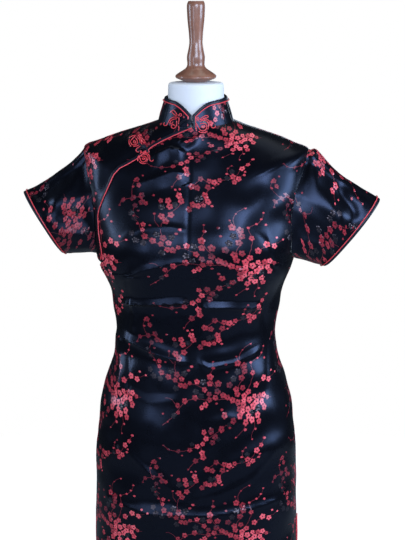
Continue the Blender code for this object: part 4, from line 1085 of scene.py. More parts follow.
def flat_size(outer, wrap=False):
    """The width and length that a panel was cut to, and the area of its cut."""
    across = np.linalg.norm(np.diff(outer, axis=1), axis=-1).sum(axis=1).max()
    along = np.linalg.norm(np.diff(outer, axis=0), axis=-1).sum(axis=0).max()
    if wrap:
        across += np.linalg.norm(outer[:, 0] - outer[:, -1], axis=-1).max()
    return (float(across), float(along)), min(grid_area(outer, wrap), float(across * along))


def declare_cloth(outer, wrap=False):
    flat, area = flat_size(outer, wrap)


def band_mesh(line, sideways, normals, widths):
    """A folded band of satin beside a line, a little crowned, with its fold on the outer edge."""
    widths = np.asarray(widths)[:, None]
    crown = np.array(((0.0, -WALL), (0.0, -0.0003), (0.10, 0.00025), (0.5, 0.00045), (0.88, 0.0003), (1.0, -0.0003),
                      (1.0, -WALL + 0.0002), (0.9, -WALL)))
    heights = np.broadcast_to(crown[None, :, 1], (len(widths), len(crown)))
    section = np.stack((crown[None, :, 0] * widths, heights), axis=-1)
    start = np.asarray(line) + np.asarray(sideways) * SEAM_GAP
    return sweep_mesh(start, sideways, normals, section)


def edge_trim(name, levels, limits, which):
    """A binding beyond a panel's edge and a twisted piping over the join."""
    turns = limits(levels)[which]
    line = cloth(levels, turns)
    normals = body_normal(levels, turns)
    outward = -1 if which == 0 else 1
    sideways = units(np.cross(normals, directions(line)))
    across = cloth(levels[:1], turns[:1] + outward * 0.01)[0] - line[0]
    if across @ sideways[0] < 0:
        sideways = -sideways
    ring = RINGS[TOP_LEVEL]
    height = ring.front_z + (ring.side_z - ring.front_z) * (line[:, 0] / ring.half_width) ** 2
    room = (height - 0.0008 - line[:, 2]) / np.maximum(sideways[:, 2], 0.2)
    widths = np.minimum(BINDING_WIDTH, room)
    kept = int((widths > 0.0015).sum())
    band = band_mesh(line[:kept], sideways[:kept], normals[:kept], widths[:kept])
    binding = new_piece(
        f"{name}_binding_satin", mesh_from(name, *band), finish("binding"), [f"{name}_binding"]
    )
    even = smooth_line(line + normals * (PIPING_RADIUS + LIFT), CORD_STEP)
    facing = np.stack([np.interp(even[:, 2], line[:, 2], normals[:, axis]) for axis in range(3)], axis=-1)
    cord = cord_parts(even, PIPING_RADIUS, units(facing))
    piping = new_piece(
        f"{name}_piping_cord", mesh_from(name, *cord), finish("cord"), [f"{name}_piping"]
    )
    return [binding, piping]


def armhole_ring(side):
    seam = LEFT if side > 0 else RIGHT
    seam_from_back = LEFT if side > 0 else RIGHT_FROM_BACK
    levels = fine_levels(LEVEL["underarm"], LEVEL["shoulder_tip"], 0.0035)
    levels = np.sort(np.concatenate((levels, LEVEL["underarm"] + np.array((0.02, 0.06, 0.12, 0.2, 0.3)))))
    front = cloth(levels, armhole_turn(levels, FRONT_ARMHOLE, FRONT, seam))
    back = cloth(levels, armhole_turn(levels, BACK_ARMHOLE, BACK, seam_from_back))
    return smooth_line(front, ARMHOLE_SPACING), smooth_line(back[::-1], ARMHOLE_SPACING)


def half_shares(points):
    lengths = lengths_along(points)
    return lengths / lengths[-1]


def cuff_points(cuff, angle):
    """Places on the finished sleeve edge. Angle 0 is its bottom, and a quarter turn is its front."""
    top = np.array((cuff.side * cuff.top_x, cuff.centre_y, cuff.top_z))
    bottom = np.array((cuff.side * cuff.bottom_x, cuff.centre_y, cuff.bottom_z))
    middle, half = (top + bottom) / 2, (top - bottom) / 2
    outward = units(np.array((cuff.side * half[2], 0.0, -abs(half[0]))))
    front = outward * cuff.front_out - np.array((0.0, cuff.half_depth, 0.0))
    return middle - half * np.cos(angle)[:, None] + front * np.sin(angle)[:, None]


def make_sleeve(name, cuff):
    front, back = armhole_ring(cuff.side)
    root = np.concatenate((front[:-1], back[:-1]))
    angles = np.concatenate((half_shares(front)[:-1], 1 + half_shares(back)[:-1])) * math.pi
    edge = cuff_points(cuff, angles)
    upper = ((1 - np.cos(angles)) / 2) ** 3
    span = np.linalg.norm(edge - root, axis=1)
    reach = 1 - (BINDING_WIDTH + SEAM_GAP) / span
    begin = (SLEEVE_SEAM_GAP + (SEAM_GAP - SLEEVE_SEAM_GAP) * upper) / span
    rows = []
    for share in np.linspace(0, 1, SLEEVE_ROWS):
        far = begin + (reach - begin) * share
        row = root + (edge - root) * far[:, None]
        head = faded(far, 0, 0.1) * np.exp(-((far / 0.22) ** 2))
        row[:, 2] += upper * (cuff.head_rise * head - cuff.top_sag * np.sin(math.pi * np.clip(far, 0, 1) ** 0.6))
        rows.append(row)
    grid = np.array(rows)
    normals = grid_normals(grid, True)
    middles = grid.mean(axis=1, keepdims=True)
    normals = normals * np.sign(((grid - middles) * normals).sum(axis=2).mean())
    share = np.linspace(0, 1, SLEEVE_ROWS)[:, None]
    rise = np.zeros(grid.shape[:2])
    for fold in SLEEVE_FOLDS:
        if fold.side == name:
            line = fold.angle_1 + (fold.angle_2 - fold.angle_1) * (share - fold.start) / (fold.stop - fold.start)
            away = (np.degrees(angles)[None, :] - line) / fold.half_width
            ends = faded(share, fold.start, fold.start + 0.2) * faded(-share, -fold.stop, 0.2 - fold.stop)
            rise = rise + fold.rise * np.exp(-(away**2)) * ends
    calm = faded(share, 0.0, 0.15) * faded(-share, -1.0, -0.85)
    rise = (rise * sizes().fold_depth + ripple_rise(grid, 11) * sizes().unevenness * 1.2) * calm
    grid = grid + normals * rise[..., None]
    normals = grid_normals(grid, True)
    normals = normals * np.sign(((grid - middles) * normals).sum(axis=2).mean())
    steps = np.linalg.norm(np.diff(grid, axis=1), axis=2)
    around = np.concatenate((np.zeros((len(grid), 1)), np.cumsum(steps, axis=1)), axis=1)
    top = int(np.argmin(abs(angles - math.pi)))
    around = around - around[:, top : top + 1]
    steps = np.linalg.norm(np.diff(grid, axis=0), axis=2)
    along = np.concatenate((np.zeros((1, grid.shape[1])), np.cumsum(steps, axis=0)))
    flat = np.stack((around, -along), axis=-1)
    mesh = cloth_wall(name, grid, grid - normals * WALL, flat, wrap=True)
    sleeve = new_piece(f"sleeve_{name}_cloth", mesh, finish("ground"), [f"sleeve_{name}"])
    closed = [np.concatenate((each, each[:, :1]), axis=1)[::-1] for each in (grid, normals, -along)]
    gap = np.linalg.norm(grid[:, -1] - grid[:, 0], axis=1)[:, None]
    u = np.concatenate((around, around[:, -1:] + gap), axis=1)[::-1]
    CLOTHS[f"sleeve_{name}"] = FlatMap(closed[0], closed[1], u, closed[2])
    seam = grid[-1]
    outward = units(seam - grid[-4])
    tangent = directions(seam, True)
    facing = units(np.cross(tangent, outward))
    facing = facing * np.sign((facing * normals[-1]).sum(axis=1).mean())
    crown = np.array(((0.0, -WALL), (0.0, -0.0003), (0.0006, 0.00025), (0.003, 0.00045), (0.0053, 0.0003),
                      (0.006, -0.0003), (0.006, -WALL + 0.0002), (0.0054, -WALL)))
    band = sweep_mesh(seam + outward * SEAM_GAP, outward, facing, crown, cyclic=True)
    mesh = mesh_from(name, *band)
    binding = new_piece(
        f"cuff_{name}_binding_satin", mesh, finish("binding"), [f"cuff_{name}_binding"]
    )
    line = smooth_line(seam + facing * (PIPING_RADIUS + LIFT), CORD_STEP, True)
    nearest = np.linalg.norm(line[:, None] - seam[None], axis=2).argmin(axis=1)
    cord = cord_parts(line, PIPING_RADIUS, facing[nearest], cyclic=True)
    piping = new_piece(
        f"cuff_{name}_piping_cord", mesh_from(name, *cord), finish("cord"), [f"cuff_{name}_piping"]
    )
    return sleeve, grid, [binding, piping]


# The collar. Along is the distance round the neckline from the middle of the front, towards the wearer's left.


def neckline_lengths():
    turns = FRONT - np.linspace(0, 2 * math.pi, 721)
    points = bare_body(TOP_LEVEL, turns)
    return turns, lengths_along(points)


NECK_TURNS, NECK_ALONG = neckline_lengths()
NECK_LENGTH = NECK_ALONG[-1]


def collar_points(along, height, out=0.0):
    """Places on the collar's outer face."""
    along, height = np.broadcast_arrays(np.asarray(along, float), np.asarray(height, float))
    turn = np.interp(along, NECK_ALONG, NECK_TURNS)
    across, ahead = np.cos(turn), np.sin(turn)
    foot = bare_body(TOP_LEVEL, turn) + np.array((0, 0, NECK_SEAM_GAP))
    depth = np.where(ahead > 0, COLLAR_TOP_FRONT, COLLAR_TOP_BACK)
    top = np.stack((COLLAR_TOP_HALF_WIDTH * across, -depth * ahead, foot[..., 2] + COLLAR_HEIGHT), axis=-1)
    outward = units(np.stack((across, -ahead, np.full_like(across, 0.25)), axis=-1))
    return foot + (top - foot) * (height / COLLAR_HEIGHT)[..., None] + outward * np.asarray(out)[..., None]


def collar_edge():
    share = np.linspace(0, 1, 30)
    bend = COLLAR_HEIGHT - COLLAR_CORNER_HEIGHT * (1 - share) ** 2
    corner = np.stack((COLLAR_PARTING + COLLAR_CORNER_LENGTH * share, bend), axis=-1)
    rising = np.linspace(0, COLLAR_HEIGHT - COLLAR_CORNER_HEIGHT, 9)[:-1]
    foot = np.stack((np.full_like(rising, COLLAR_PARTING), rising), axis=-1)
    around = np.linspace(corner[-1, 0], NECK_LENGTH - corner[-1, 0], 110)[1:-1]
    level = np.stack((around, np.full_like(around, COLLAR_HEIGHT)), axis=-1)
    start = np.concatenate((foot, corner))
    return np.concatenate((start, level, (start * (-1, 1) + (NECK_LENGTH, 0))[::-1]))


def inset_edge(edge, distance):
    ahead = units(np.gradient(edge, axis=0))
    moved = edge + np.stack((ahead[:, 1], -ahead[:, 0]), axis=-1) * distance
    moved[0, 1] = moved[-1, 1] = 0.0
    return moved


def make_collar():
    edge = collar_edge()
    join = inset_edge(edge, BINDING_WIDTH + SEAM_GAP)
    columns = join[8:-8]
    shares = np.linspace(0, 1, COLLAR_ROWS)[:, None]
    along = np.broadcast_to(columns[None, :, 0], (COLLAR_ROWS, len(columns)))
    height = columns[None, :, 1] * shares - 0.0005 * (1 - shares)
    puckers = 0.0006 * np.sin(along * 2 * math.pi / 0.011 + 4 * np.sin(along * 90)) * np.sin(math.pi * shares)
    sides = faded(abs(np.cos(np.interp(along, NECK_ALONG, NECK_TURNS))), 0.55, 0.95)
    outer = collar_points(along, height, -0.0004 + puckers * sides * sizes().fold_depth)
    inner = collar_points(along, height, -COLLAR_WALL)
    flat = np.stack((along, height), axis=-1)
    mesh = cloth_wall("collar", outer, inner, flat)
    collar = new_piece("collar_cloth", mesh, finish("ground"), ["collar"])
    normals = grid_normals(outer)
    normals = normals * np.sign((normals * (outer * (1, 1, 0))).sum(axis=-1).mean())
    CLOTHS["collar"] = FlatMap(outer, normals, along, height)
    middle = collar_points(*inset_edge(edge, BINDING_WIDTH / 2).T)
    outermost, innermost = collar_points(*edge.T), collar_points(*inset_edge(edge, BINDING_WIDTH).T)
    sides = units(outermost - innermost)
    heading = directions(middle)
    facing = units(np.cross(heading, sides))
    facing = facing * np.sign((facing * (middle * (1, 1, 0))).sum(axis=-1, keepdims=True))
    widths = np.linalg.norm(outermost - innermost, axis=1)[:, None]
    crown = np.array(((-0.5, -0.0014), (-0.5, -0.0003), (-0.4, 0.0002), (0.0, 0.0004), (0.4, 0.0002), (0.5, -0.0004),
                      (0.5, -0.0011), (0.42, -0.0014)))
    heights = np.broadcast_to(crown[None, :, 1], (len(widths), len(crown)))
    section = np.stack((crown[None, :, 0] * widths, heights), axis=-1)
    band = sweep_mesh(middle, sides, facing, section)
    mesh = mesh_from("collar_binding", *band)
    binding = new_piece("collar_binding_satin", mesh, finish("binding"), ["collar_binding"])
    trail = join.copy()
    trail[0, 1] = trail[-1, 1] = PIPING_RADIUS * 2
    spots = trail[[0, *range(3, len(trail) - 3), -1]]
    line = smooth_line(collar_points(*spots.T, PIPING_RADIUS + LIFT), CORD_STEP)
    outward = units(line * (1, 1, 0))
    cord = cord_parts(line, PIPING_RADIUS, outward)
    mesh = mesh_from("collar_piping", *cord)
    piping = new_piece("collar_piping_cord", mesh, finish("cord"), ["collar_piping"])
    return collar, outer, [binding, piping]


# The woven pattern


def petal_outlines(flower, turn):
    """A blossom's petals, each an outline of points in metres."""
    radius = flower.radius * 0.001
    angle = np.arange(6) * math.pi / 3
    petals = []
    for number in range(PETALS):
        heading = turn + number * 2 * math.pi / PETALS
        ahead = np.array((math.cos(heading), math.sin(heading)))
        beside = np.array((-ahead[1], ahead[0]))
        out = 0.56 + 0.44 * np.cos(angle)[:, None]
        petals.append(radius * (out * ahead + 0.43 * np.sin(angle)[:, None] * beside))
    return petals


def round_outline(radius, count, turn=0.0):
    angle = np.arange(count) * 2 * math.pi / count + turn
    return radius * np.stack((np.cos(angle), np.sin(angle)), axis=-1)


def chart():
    """Every outline of one repeat, with its tone from 0 to 1, which is partly painted light, and how high it stands.
    """
    chance = np.random.default_rng(31)
    size = sizes().blossom_size
    outlines = []
    for flower in FLOWERS:
        middle = np.array((flower.right, flower.up)) * 0.001
        turn = chance.uniform(0, 2 * math.pi)
        tone = flower.tone / 4 + chance.uniform(-0.14, 0.10)
        for petal in petal_outlines(flower, turn):
            petal_tone_and_painted_light = float(np.clip(tone + chance.uniform(-0.12, 0.12), 0.2, 1))
            outlines.append((middle + petal * size, petal_tone_and_painted_light, 1.0))
        outlines.append((middle + round_outline(flower.radius * 0.00017 * size, 5, turn), 0.06, 1.15))
        for stamen in range(5):
            spot = round_outline(flower.radius * 0.00036 * size, 5, turn + math.pi / 5)[stamen]
            outlines.append((middle + spot + round_outline(0.00035, 3, turn), 0.95, 1.3))
    for flower in SHADOW_FLOWERS:
        middle = np.array((flower.right, flower.up)) * 0.001
        turn = chance.uniform(0, 2 * math.pi)
        for petal in petal_outlines(flower, turn):
            outlines.append((middle + petal * size, 0.02 + chance.uniform(0, 0.03), 0.8))
        outlines.append((middle + round_outline(flower.radius * 0.00022 * size, 5, turn), 0.14, 1.1))
    for bud in BUDS:
        middle = np.array((bud.right, bud.up)) * 0.001
        turn = chance.uniform(0, 2 * math.pi)
        stretch = np.array((1.0, 0.75))
        outlines.append((middle + round_outline(bud.radius * 0.001 * size, 6, turn) * stretch, bud.tone / 4, 1.0))
    for twig in TWIGS:
        line = smooth_line(np.array(twig) * 0.001, 0.0045)
        wobble = np.array([chance.uniform(-0.0006, 0.0006, 2) for _ in line])
        line = line + wobble
        for index, (start, stop) in enumerate(zip(line, line[1:])):
            ahead = units(stop - start)
            beside = np.array((-ahead[1], ahead[0])) * (0.00042 if len(line) - index > 5 else 0.0003)
            stop = stop + ahead * 0.0004
            outlines.append((np.array((start - beside, stop - beside, stop + beside, start + beside)), 0.30, 0.7))
    return outlines


def weave_pattern(name, cloth_name, to_flat, right_range, up_range, painted_shade_factor=1.0):
    """The red silk blossoms of one piece of cloth, each petal a low closed pad on its surface. Their tones carry
    painted light, and a piece's red ones can be darkened further as painted shade.
    """
    place = CLOTHS[cloth_name]
    groups = {}
    for outline, tone, height in chart():
        groups.setdefault(len(outline), []).append((outline, tone, height))
    corners, faces, tones_and_painted_light, start = [], [], [], 0
    for count, rows in groups.items():
        outlines = np.array([row[0] for row in rows])
        shade = np.array([row[1] for row in rows])
        # Painted shade: the red blossoms of a piece that lies out of the light are darkened by this factor.
        shade = np.where(shade > 0.2, np.maximum(0.2, shade * painted_shade_factor), shade)
        height = np.array([row[2] for row in rows])
        for right in range(*right_range):
            for up in range(*up_range):
                moved = outlines + np.array((right * REPEAT_WIDTH, up * REPEAT_HEIGHT))
                middle = moved.mean(axis=1)
                inside = place.place(*to_flat(*middle.T))[2]
                if not inside.any():
                    continue
                kept = moved[inside]
                centre = kept.mean(axis=1, keepdims=True)
                top = centre + (kept - centre) * (TWIG_TOP if count == 4 else PETAL_TOP)
                both = np.concatenate((kept, top), axis=1).reshape(-1, 2)
                points, normals, _ = place.place(*to_flat(*both.T))
                tall = np.repeat(height[inside], 2 * count) * sizes().silk_height
                low = np.tile(np.repeat((1.0, 0.0), count), len(kept)).astype(bool)
                points = points + normals * np.where(low, -PAD_ROOT, tall)[:, None]
                base = start + np.arange(len(kept))[:, None] * 2 * count
                ring = np.arange(count)
                beside = (ring + 1) % count
                faces += (base + ring).tolist() + (base + count + ring).tolist()
                sides = np.stack((ring, beside, beside + count, ring + count), axis=-1)
                faces += (base[:, :, None] + sides[None]).reshape(-1, 4).tolist()
                corners.append(points)
                tones_and_painted_light.append(np.repeat(shade[inside], 2 * count))
                start += len(points)
    points = np.concatenate(corners)
    mesh = mesh_from(name, points, faces)
    layer = mesh.attributes.new("tone", "FLOAT", "POINT")
    layer.data.foreach_set("value", np.concatenate(tones_and_painted_light).astype(np.float32))
    return new_piece(name, mesh, finish("blossom"), [])


def laid_flat(lay, tip):
    """From the chart's metres to the flat places of the front or back, by its lay."""
    heights, widened, moved, repeats_up = np.array(lay).T

    def to_flat(right, up):
        z = np.interp(up / REPEAT_HEIGHT, repeats_up, heights)
        return (right + tip + np.interp(z, heights, moved)) / np.interp(z, heights, widened), z

    return to_flat


def moved_flat(right_by, up_by, right_way=1, up_way=1):
    """From the chart's metres to a small piece's flat places: moved, and turned over where a way is -1."""

    def to_flat(right, up):
        return right_way * right + right_by, up_way * up + up_by

    return to_flat


# The frog closures lie on the cloth as it has been made


def surface_tree(names):
    corners, faces, start = [], [], 0
    for name in names:
        mesh = PIECES[name].data
        corners += [vertex.co.copy() for vertex in mesh.vertices]
        faces += [[start + index for index in face.vertices] for face in mesh.polygons]
        start = len(corners)
    return BVHTree.FromPolygons(corners, faces)


def drawing_plane(tree, x, z):
    """Where a drawing is held before the cloth at a spot in the front view: its middle, right, up and facing."""
    facing = units(np.array((0.12, -1.0, 0.16)))
    right = units(np.cross((0, 0, 1), facing))
    depth = tree.ray_cast(Vector((x, -0.3, z)), Vector((0, 1, 0)))[0].y
    return np.array((x, depth, z)), right, np.cross(facing, right), facing


def laid_on_cloth(tree, plane, drawing, radius):
    """The points of a flat drawing pressed to the cloth, so that a ball of this radius at each just clears it."""
    middle, right, up, facing = plane
    far = 0.05
    clear = radius + LIFT
    offsets = np.linspace(-clear, clear, 1 + 2 * math.ceil(clear / CORD_STEP))
    under_ball = [
        (side, height, math.sqrt(clear**2 - side**2 - height**2))
        for side in offsets
        for height in offsets
        if math.hypot(side, height) < clear
    ]
    points = []
    rise = 0.0
    for x, z in drawing:
        origin = middle + right * x + up * z + facing * far
        rises = []
        for side, height, ball in under_ball:
            hit = tree.ray_cast(Vector(origin + right * side + up * height), Vector(-facing), 2 * far)[3]
            if hit is not None:
                rises.append(far - hit + ball)
        rise = max(rises, default=rise)
        points.append(origin + facing * (rise - far))
    return np.array(points)


def eased(line):
    """A line with its small jumps smoothed away."""
    heights = line.copy()
    for _ in range(3):
        heights[1:-1] = (heights[:-2] + 2 * heights[1:-1] + heights[2:]) / 4
    return heights


def make_frog(tree, frog):
    plane = drawing_plane(tree, frog.x, frog.z)
    cosine, sine = math.cos(math.radians(frog.turned_deg)), math.sin(math.radians(frog.turned_deg))
    parts = []
    for stroke in frog.strokes:
        drawing = np.array(stroke, float) * 0.001 * frog.scale
        drawing = drawing @ np.array(((cosine, sine), (-sine, cosine)))
        line = smooth_line(drawing, STROKE_STEP)
        points = eased(laid_on_cloth(tree, plane, line, FROG_CORD_RADIUS))
        even = smooth_line(points, CORD_STEP)
        parts.append(cord_parts(even, FROG_CORD_RADIUS, np.broadcast_to(plane[3], even.shape)))
    replaced = [f"{frog.name}_flower", f"{frog.name}_leaf"]
    mesh = mesh_from(frog.name, *joined(parts))
    return new_piece(f"{frog.name}_cord", mesh, finish("cord"), replaced)


def make_knot(tree, knot):
    """A ball of interlaced satin cord with the loop that holds it."""
    plane = drawing_plane(tree, knot.x, knot.z)
    middle, right, up, facing = plane
    centre = laid_on_cloth(tree, plane, [(0.0, 0.0)], KNOT_RADIUS)[0]
    leads, bights = 3, 5
    angle = np.linspace(0, 2 * math.pi * leads, 220, endpoint=False)
    tall = np.sin(bights * angle / leads)
    reach = KNOT_RADIUS - 0.0012 + 0.00025 * np.cos(2 * bights * angle / leads)
    ball = np.stack(
        (reach * np.cos(tall) * np.cos(angle), reach * np.cos(tall) * np.sin(angle), reach * np.sin(tall)), axis=-1
    )
    line = centre + ball[:, :1] * right + ball[:, 1:2] * up + ball[:, 2:] * facing
    outward = units(line - centre)
    beside = units(np.cross(directions(line, True), outward))
    parts = [sweep_mesh(line, beside, outward, round_section(KNOT_CORD_RADIUS, 7), True)]
    steps = np.linspace(0, math.pi, 9)
    core = [centre + facing * (KNOT_CORE_RADIUS * math.cos(step)) for step in steps]
    widths = [max(KNOT_CORE_RADIUS * math.sin(step), 0.0001) for step in steps]
    section = np.array([round_section(width, 10) for width in widths])
    parts.append(sweep_mesh(core, [right] * len(core), [up] * len(core), section))
    loop = smooth_line(np.array(knot.loop, float) * 0.001, 0.0012)
    points = eased(laid_on_cloth(tree, plane, loop, KNOT_LOOP_RADIUS))
    around = np.linalg.norm(points - centre, axis=1)
    over = np.clip(1 - around / 0.007, 0, 1)[:, None]
    points = points + facing * over * 0.006
    even = smooth_line(eased(points), 0.0009)
    parts.append(cord_parts(even, KNOT_LOOP_RADIUS, np.broadcast_to(facing, even.shape), twisted=False))
    mesh = mesh_from(knot.name, *joined(parts))
    return new_piece(f"{knot.name}_satin", mesh, finish("binding"), [knot.name])


# The dress form and its stand


def form_ring(level, turn):
    near_seam = np.minimum(1.0, (np.sin(turn) / 0.3) ** 2)
    on_shoulder = 1.0 if level >= LEVEL["outer_shoulder"] else 0.0
    clearance = FORM_CLEARANCE - (FORM_CLEARANCE - SHOULDER_CLEARANCE) * (1 - near_seam) * on_shoulder
    return smooth_cloth(float(level), turn, -clearance - 0.0003)


def make_form():
    turn = np.arange(FORM_COLUMNS) * 2 * math.pi / FORM_COLUMNS
    keys = [bare_body(FORM_FOOT_LEVEL, turn) * (0.94, 0.94, 1.0) + (0, 0, 0.0004)]
    keys += [form_ring(level, turn) for level in range(int(FORM_FOOT_LEVEL) + 1, TOP_LEVEL)]
    around = np.stack((np.cos(turn), -np.sin(turn), np.zeros(FORM_COLUMNS)), axis=-1)
    keys.append(bare_body(TOP_LEVEL, turn) - around * NECK_STEP)
    for height, wider in ((1.424, 0.0022), (1.440, 0.0011), (1.456, 0.0004), (NECK_TOP - 0.006, 0.0)):
        keys.append(around * (NECK_RADIUS + wider) + (0, 0, height))
    keys = np.array(keys)
    rows = [keys[0]]
    for index in range(1, len(keys)):
        before, start, end = keys[max(index - 2, 0)], keys[index - 1], keys[index]
        after = keys[min(index + 1, len(keys) - 1)]
        for part in (1 / 3, 2 / 3, 1.0):
            rows.append(curved(before, start, end, after, part))
    for step in (25, 50, 72, 90):
        reach = NECK_RADIUS - NECK_CORNER * (1 - math.cos(math.radians(step)))
        height = NECK_TOP - 0.0003 - NECK_CORNER * (1 - math.sin(math.radians(step)))
        rows.append(around * reach + (0, 0, height))
    rows.append(around * (NECK_RADIUS - NECK_STEP) + (0, 0, NECK_TOP - 0.0001))
    grid = np.array(rows)
    flat = np.stack(np.broadcast_arrays(turn[None, :] * 0.12, grid[..., 2]), axis=-1).reshape(-1, 2)
    faces = grid_faces(len(grid), FORM_COLUMNS, True).tolist()
    top = (len(grid) - 1) * FORM_COLUMNS
    faces += [list(range(FORM_COLUMNS)), list(range(top, top + FORM_COLUMNS))]
    mesh = mesh_from("torso_form", grid.reshape(-1, 3), faces, flat)
    form = new_piece("torso_form_jersey", mesh, finish("jersey"), ["torso_form"])
    return form


def turned_profile(rows, foot, step=0.003):
    """A smooth outline through a table of turnings, from one end to the other, without its points on the axis."""
    line = np.array([(row.radius, row.height) for row in rows if row.radius > 0])
    pieces = [line[:1]]
    for start, end in zip(line, line[1:]):
        count = max(1, int(np.linalg.norm(end - start) / step))
        pieces.append(np.linspace(start, end, count + 1)[1:])
    dense = np.concatenate(pieces)
    for _ in range(2):
        dense[1:-1] = (dense[:-2] + 2 * dense[1:-1] + dense[2:]) / 4
    return dense[:, 0], dense[:, 1] + foot


def turn_on_lathe(name, rows, foot, replaced, segments):
    """Turn a wooden piece: a disc is drawn out along the pole and widened or narrowed at each step."""
    radii, heights = turned_profile(rows, foot)
    bpy.ops.object.select_all(action="DESELECT")
    bpy.ops.mesh.primitive_circle_add(
        vertices=segments, radius=float(radii[0]), fill_type="NGON", location=(0.0, 0.0, float(heights[0]))
    )
    made = bpy.context.active_object
    bpy.ops.object.mode_set(mode="EDIT")
    bpy.ops.mesh.select_all(action="SELECT")
    for radius, height, before, level in zip(radii[1:], heights[1:], radii, heights):
        bpy.ops.mesh.extrude_region_move(TRANSFORM_OT_translate={"value": (0.0, 0.0, float(height - level))})
        ratio = float(radius / before)
        bpy.ops.transform.resize(value=(ratio, ratio, 1.0), center_override=(0.0, 0.0, float(height)))
    bpy.ops.mesh.select_all(action="SELECT")
    bpy.ops.mesh.remove_doubles(threshold=0.00001)
    bpy.ops.mesh.normals_make_consistent(inside=False)
    bpy.ops.object.mode_set(mode="OBJECT")
    bpy.ops.object.transform_apply(location=True, rotation=True, scale=True)
    bpy.ops.object.shade_smooth_by_angle(angle=math.radians(40))
    made.name = name
    made.data.name = name
    made.data.materials.append(finish("wood"))
    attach(made, "root")
    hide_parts(replaced)
    PIECES[name] = made
    return made


def pole_profile():
    foot = float(ring_sizes(FORM_FOOT_LEVEL)[0])
    length = foot - BASE_HEIGHT - 2 * SEAM_GAP
    return (
        Turning(length, 0.034),
        Turning(length - 0.010, 0.034),
        Turning(length - 0.016, POLE_RADIUS + 0.004),
        Turning(length - 0.040, POLE_RADIUS),
        Turning(0.060, POLE_RADIUS),
        Turning(0.040, POLE_RADIUS + 0.006),
        Turning(0.020, POLE_RADIUS + 0.004),
        Turning(0.012, POLE_RADIUS + 0.011),
        Turning(0.0, POLE_RADIUS + 0.011),
    )


# The settings, one operator for each group of pieces, and the panel


class CheongsamSettings(bpy.types.PropertyGroup):
    """Sizes and colours of the dress and its form."""

    fold_depth: FloatProperty(
        name="Fold depth", description="How deep the folds and creases are, as a share of the charted depth",
        default=1.0, min=0.0, max=1.5, subtype="FACTOR",
    )
    unevenness: FloatProperty(
        name="Unevenness", description="How uneven the satin lies between its folds", default=1.0, min=0.0, max=2.0,
        subtype="FACTOR",
    )
    blossom_size: FloatProperty(
        name="Blossom size", description="Size of each woven blossom as a share of the charted size", default=1.05,
        min=0.5, max=1.3, subtype="FACTOR",
    )
    silk_height: FloatProperty(
        name="Silk height", description="How far the floated red silk stands over the ground", default=0.00022,
        min=0.0001, max=0.001, unit="LENGTH", precision=5,
    )
    cord_pitch: FloatProperty(
        name="Cord twist", description="Length of one full twist of the red cord", default=0.0052, min=0.002, max=0.02,
        unit="LENGTH", precision=4,
    )
    floor_radius: FloatProperty(
        name="Floor radius", description="Radius of the studio floor", default=2.6, min=1.0, max=4.0, unit="LENGTH"
    )
    turning_segments: IntProperty(
        name="Turning segments", description="Sides of the turned wooden pieces", default=96, min=24, max=160
    )
    ground_colour: FloatVectorProperty(
        name="Ground", description="Colour of the satin ground", default=(0.0013, 0.0013, 0.0019), size=3, min=0.0,
        max=1.0, subtype="COLOR",
    )
    blossom_colour: FloatVectorProperty(
        name="Blossom", description="Colour of the red silk", default=(0.62, 0.032, 0.046), size=3, min=0.0, max=1.0,
        subtype="COLOR",
    )
    cord_colour: FloatVectorProperty(
        name="Cord", description="Colour of the piping and frogs", default=(1.0, 0.040, 0.055), size=3, min=0.0,
        max=1.0, subtype="COLOR",
    )
    jersey_colour: FloatVectorProperty(
        name="Jersey", description="Colour of the form's cover", default=(0.80, 0.765, 0.74), size=3, min=0.0, max=1.0,
        subtype="COLOR",
    )
    wood_colour: FloatVectorProperty(
        name="Wood", description="Colour of the varnished wood", default=(0.300, 0.118, 0.068), size=3, min=0.0,
        max=1.0, subtype="COLOR",
    )


class CheongsamOperator:
    bl_options = {"REGISTER", "UNDO"}


class MakePanels(CheongsamOperator, bpy.types.Operator):
    """Make the front, the underlap and the back of the dress, with their trims"""

    bl_idname = "cheongsam.panels"
    bl_label = "Panels"

    def execute(self, context):
        levels = fine_levels(0, TOP_LEVEL, ROW_SPACING)
        front, front_grid = make_panel("front_panel", levels, front_limits, FRONT)
        back, back_grid = make_panel("back_panel", levels, back_limits, BACK)
        above = fine_levels(LEVEL["underarm"], TOP_LEVEL, ROW_SPACING)
        shoulder = np.concatenate((LEVEL["under_bust"] + np.array(UNDERARM_SHARES), above))
        underlap, underlap_grid = make_panel("underlap_panel", shoulder, underlap_limits, FRONT, underlap_sink)
        front_trim = edge_trim("placket", above, front_limits, 1)
        slit = fine_levels(0, LEVEL["slit_top"], SLIT_SPACING)
        slit = np.append(slit[:-1], LEVEL["slit_top"] - SLIT_STEP)
        front_trim += edge_trim("slit_front_left", slit, front_limits, 0)
        front_trim += edge_trim("slit_front_right", slit, front_limits, 1)
        back_trim = edge_trim("slit_back_right", slit, back_limits, 0)
        back_trim += edge_trim("slit_back_left", slit, back_limits, 1)
        declare_cloth(front_grid)
        declare_cloth(back_grid)
        declare_cloth(underlap_grid)
        return {"FINISHED"}


class MakeSleeves(CheongsamOperator, bpy.types.Operator):
    """Make the two cap sleeves with their bound and piped edges"""

    bl_idname = "cheongsam.sleeves"
    bl_label = "Sleeves"

    def execute(self, context):
        for name, cuff in CUFFS.items():
            sleeve, grid, trim = make_sleeve(name, cuff)
            declare_cloth(grid, wrap=True)
        return {"FINISHED"}


class MakeCollar(CheongsamOperator, bpy.types.Operator):
    """Make the stand collar with its bound and piped edge"""

    bl_idname = "cheongsam.collar"
    bl_label = "Collar"

    def execute(self, context):
        collar, grid, trim = make_collar()
        declare_cloth(grid)
        return {"FINISHED"}


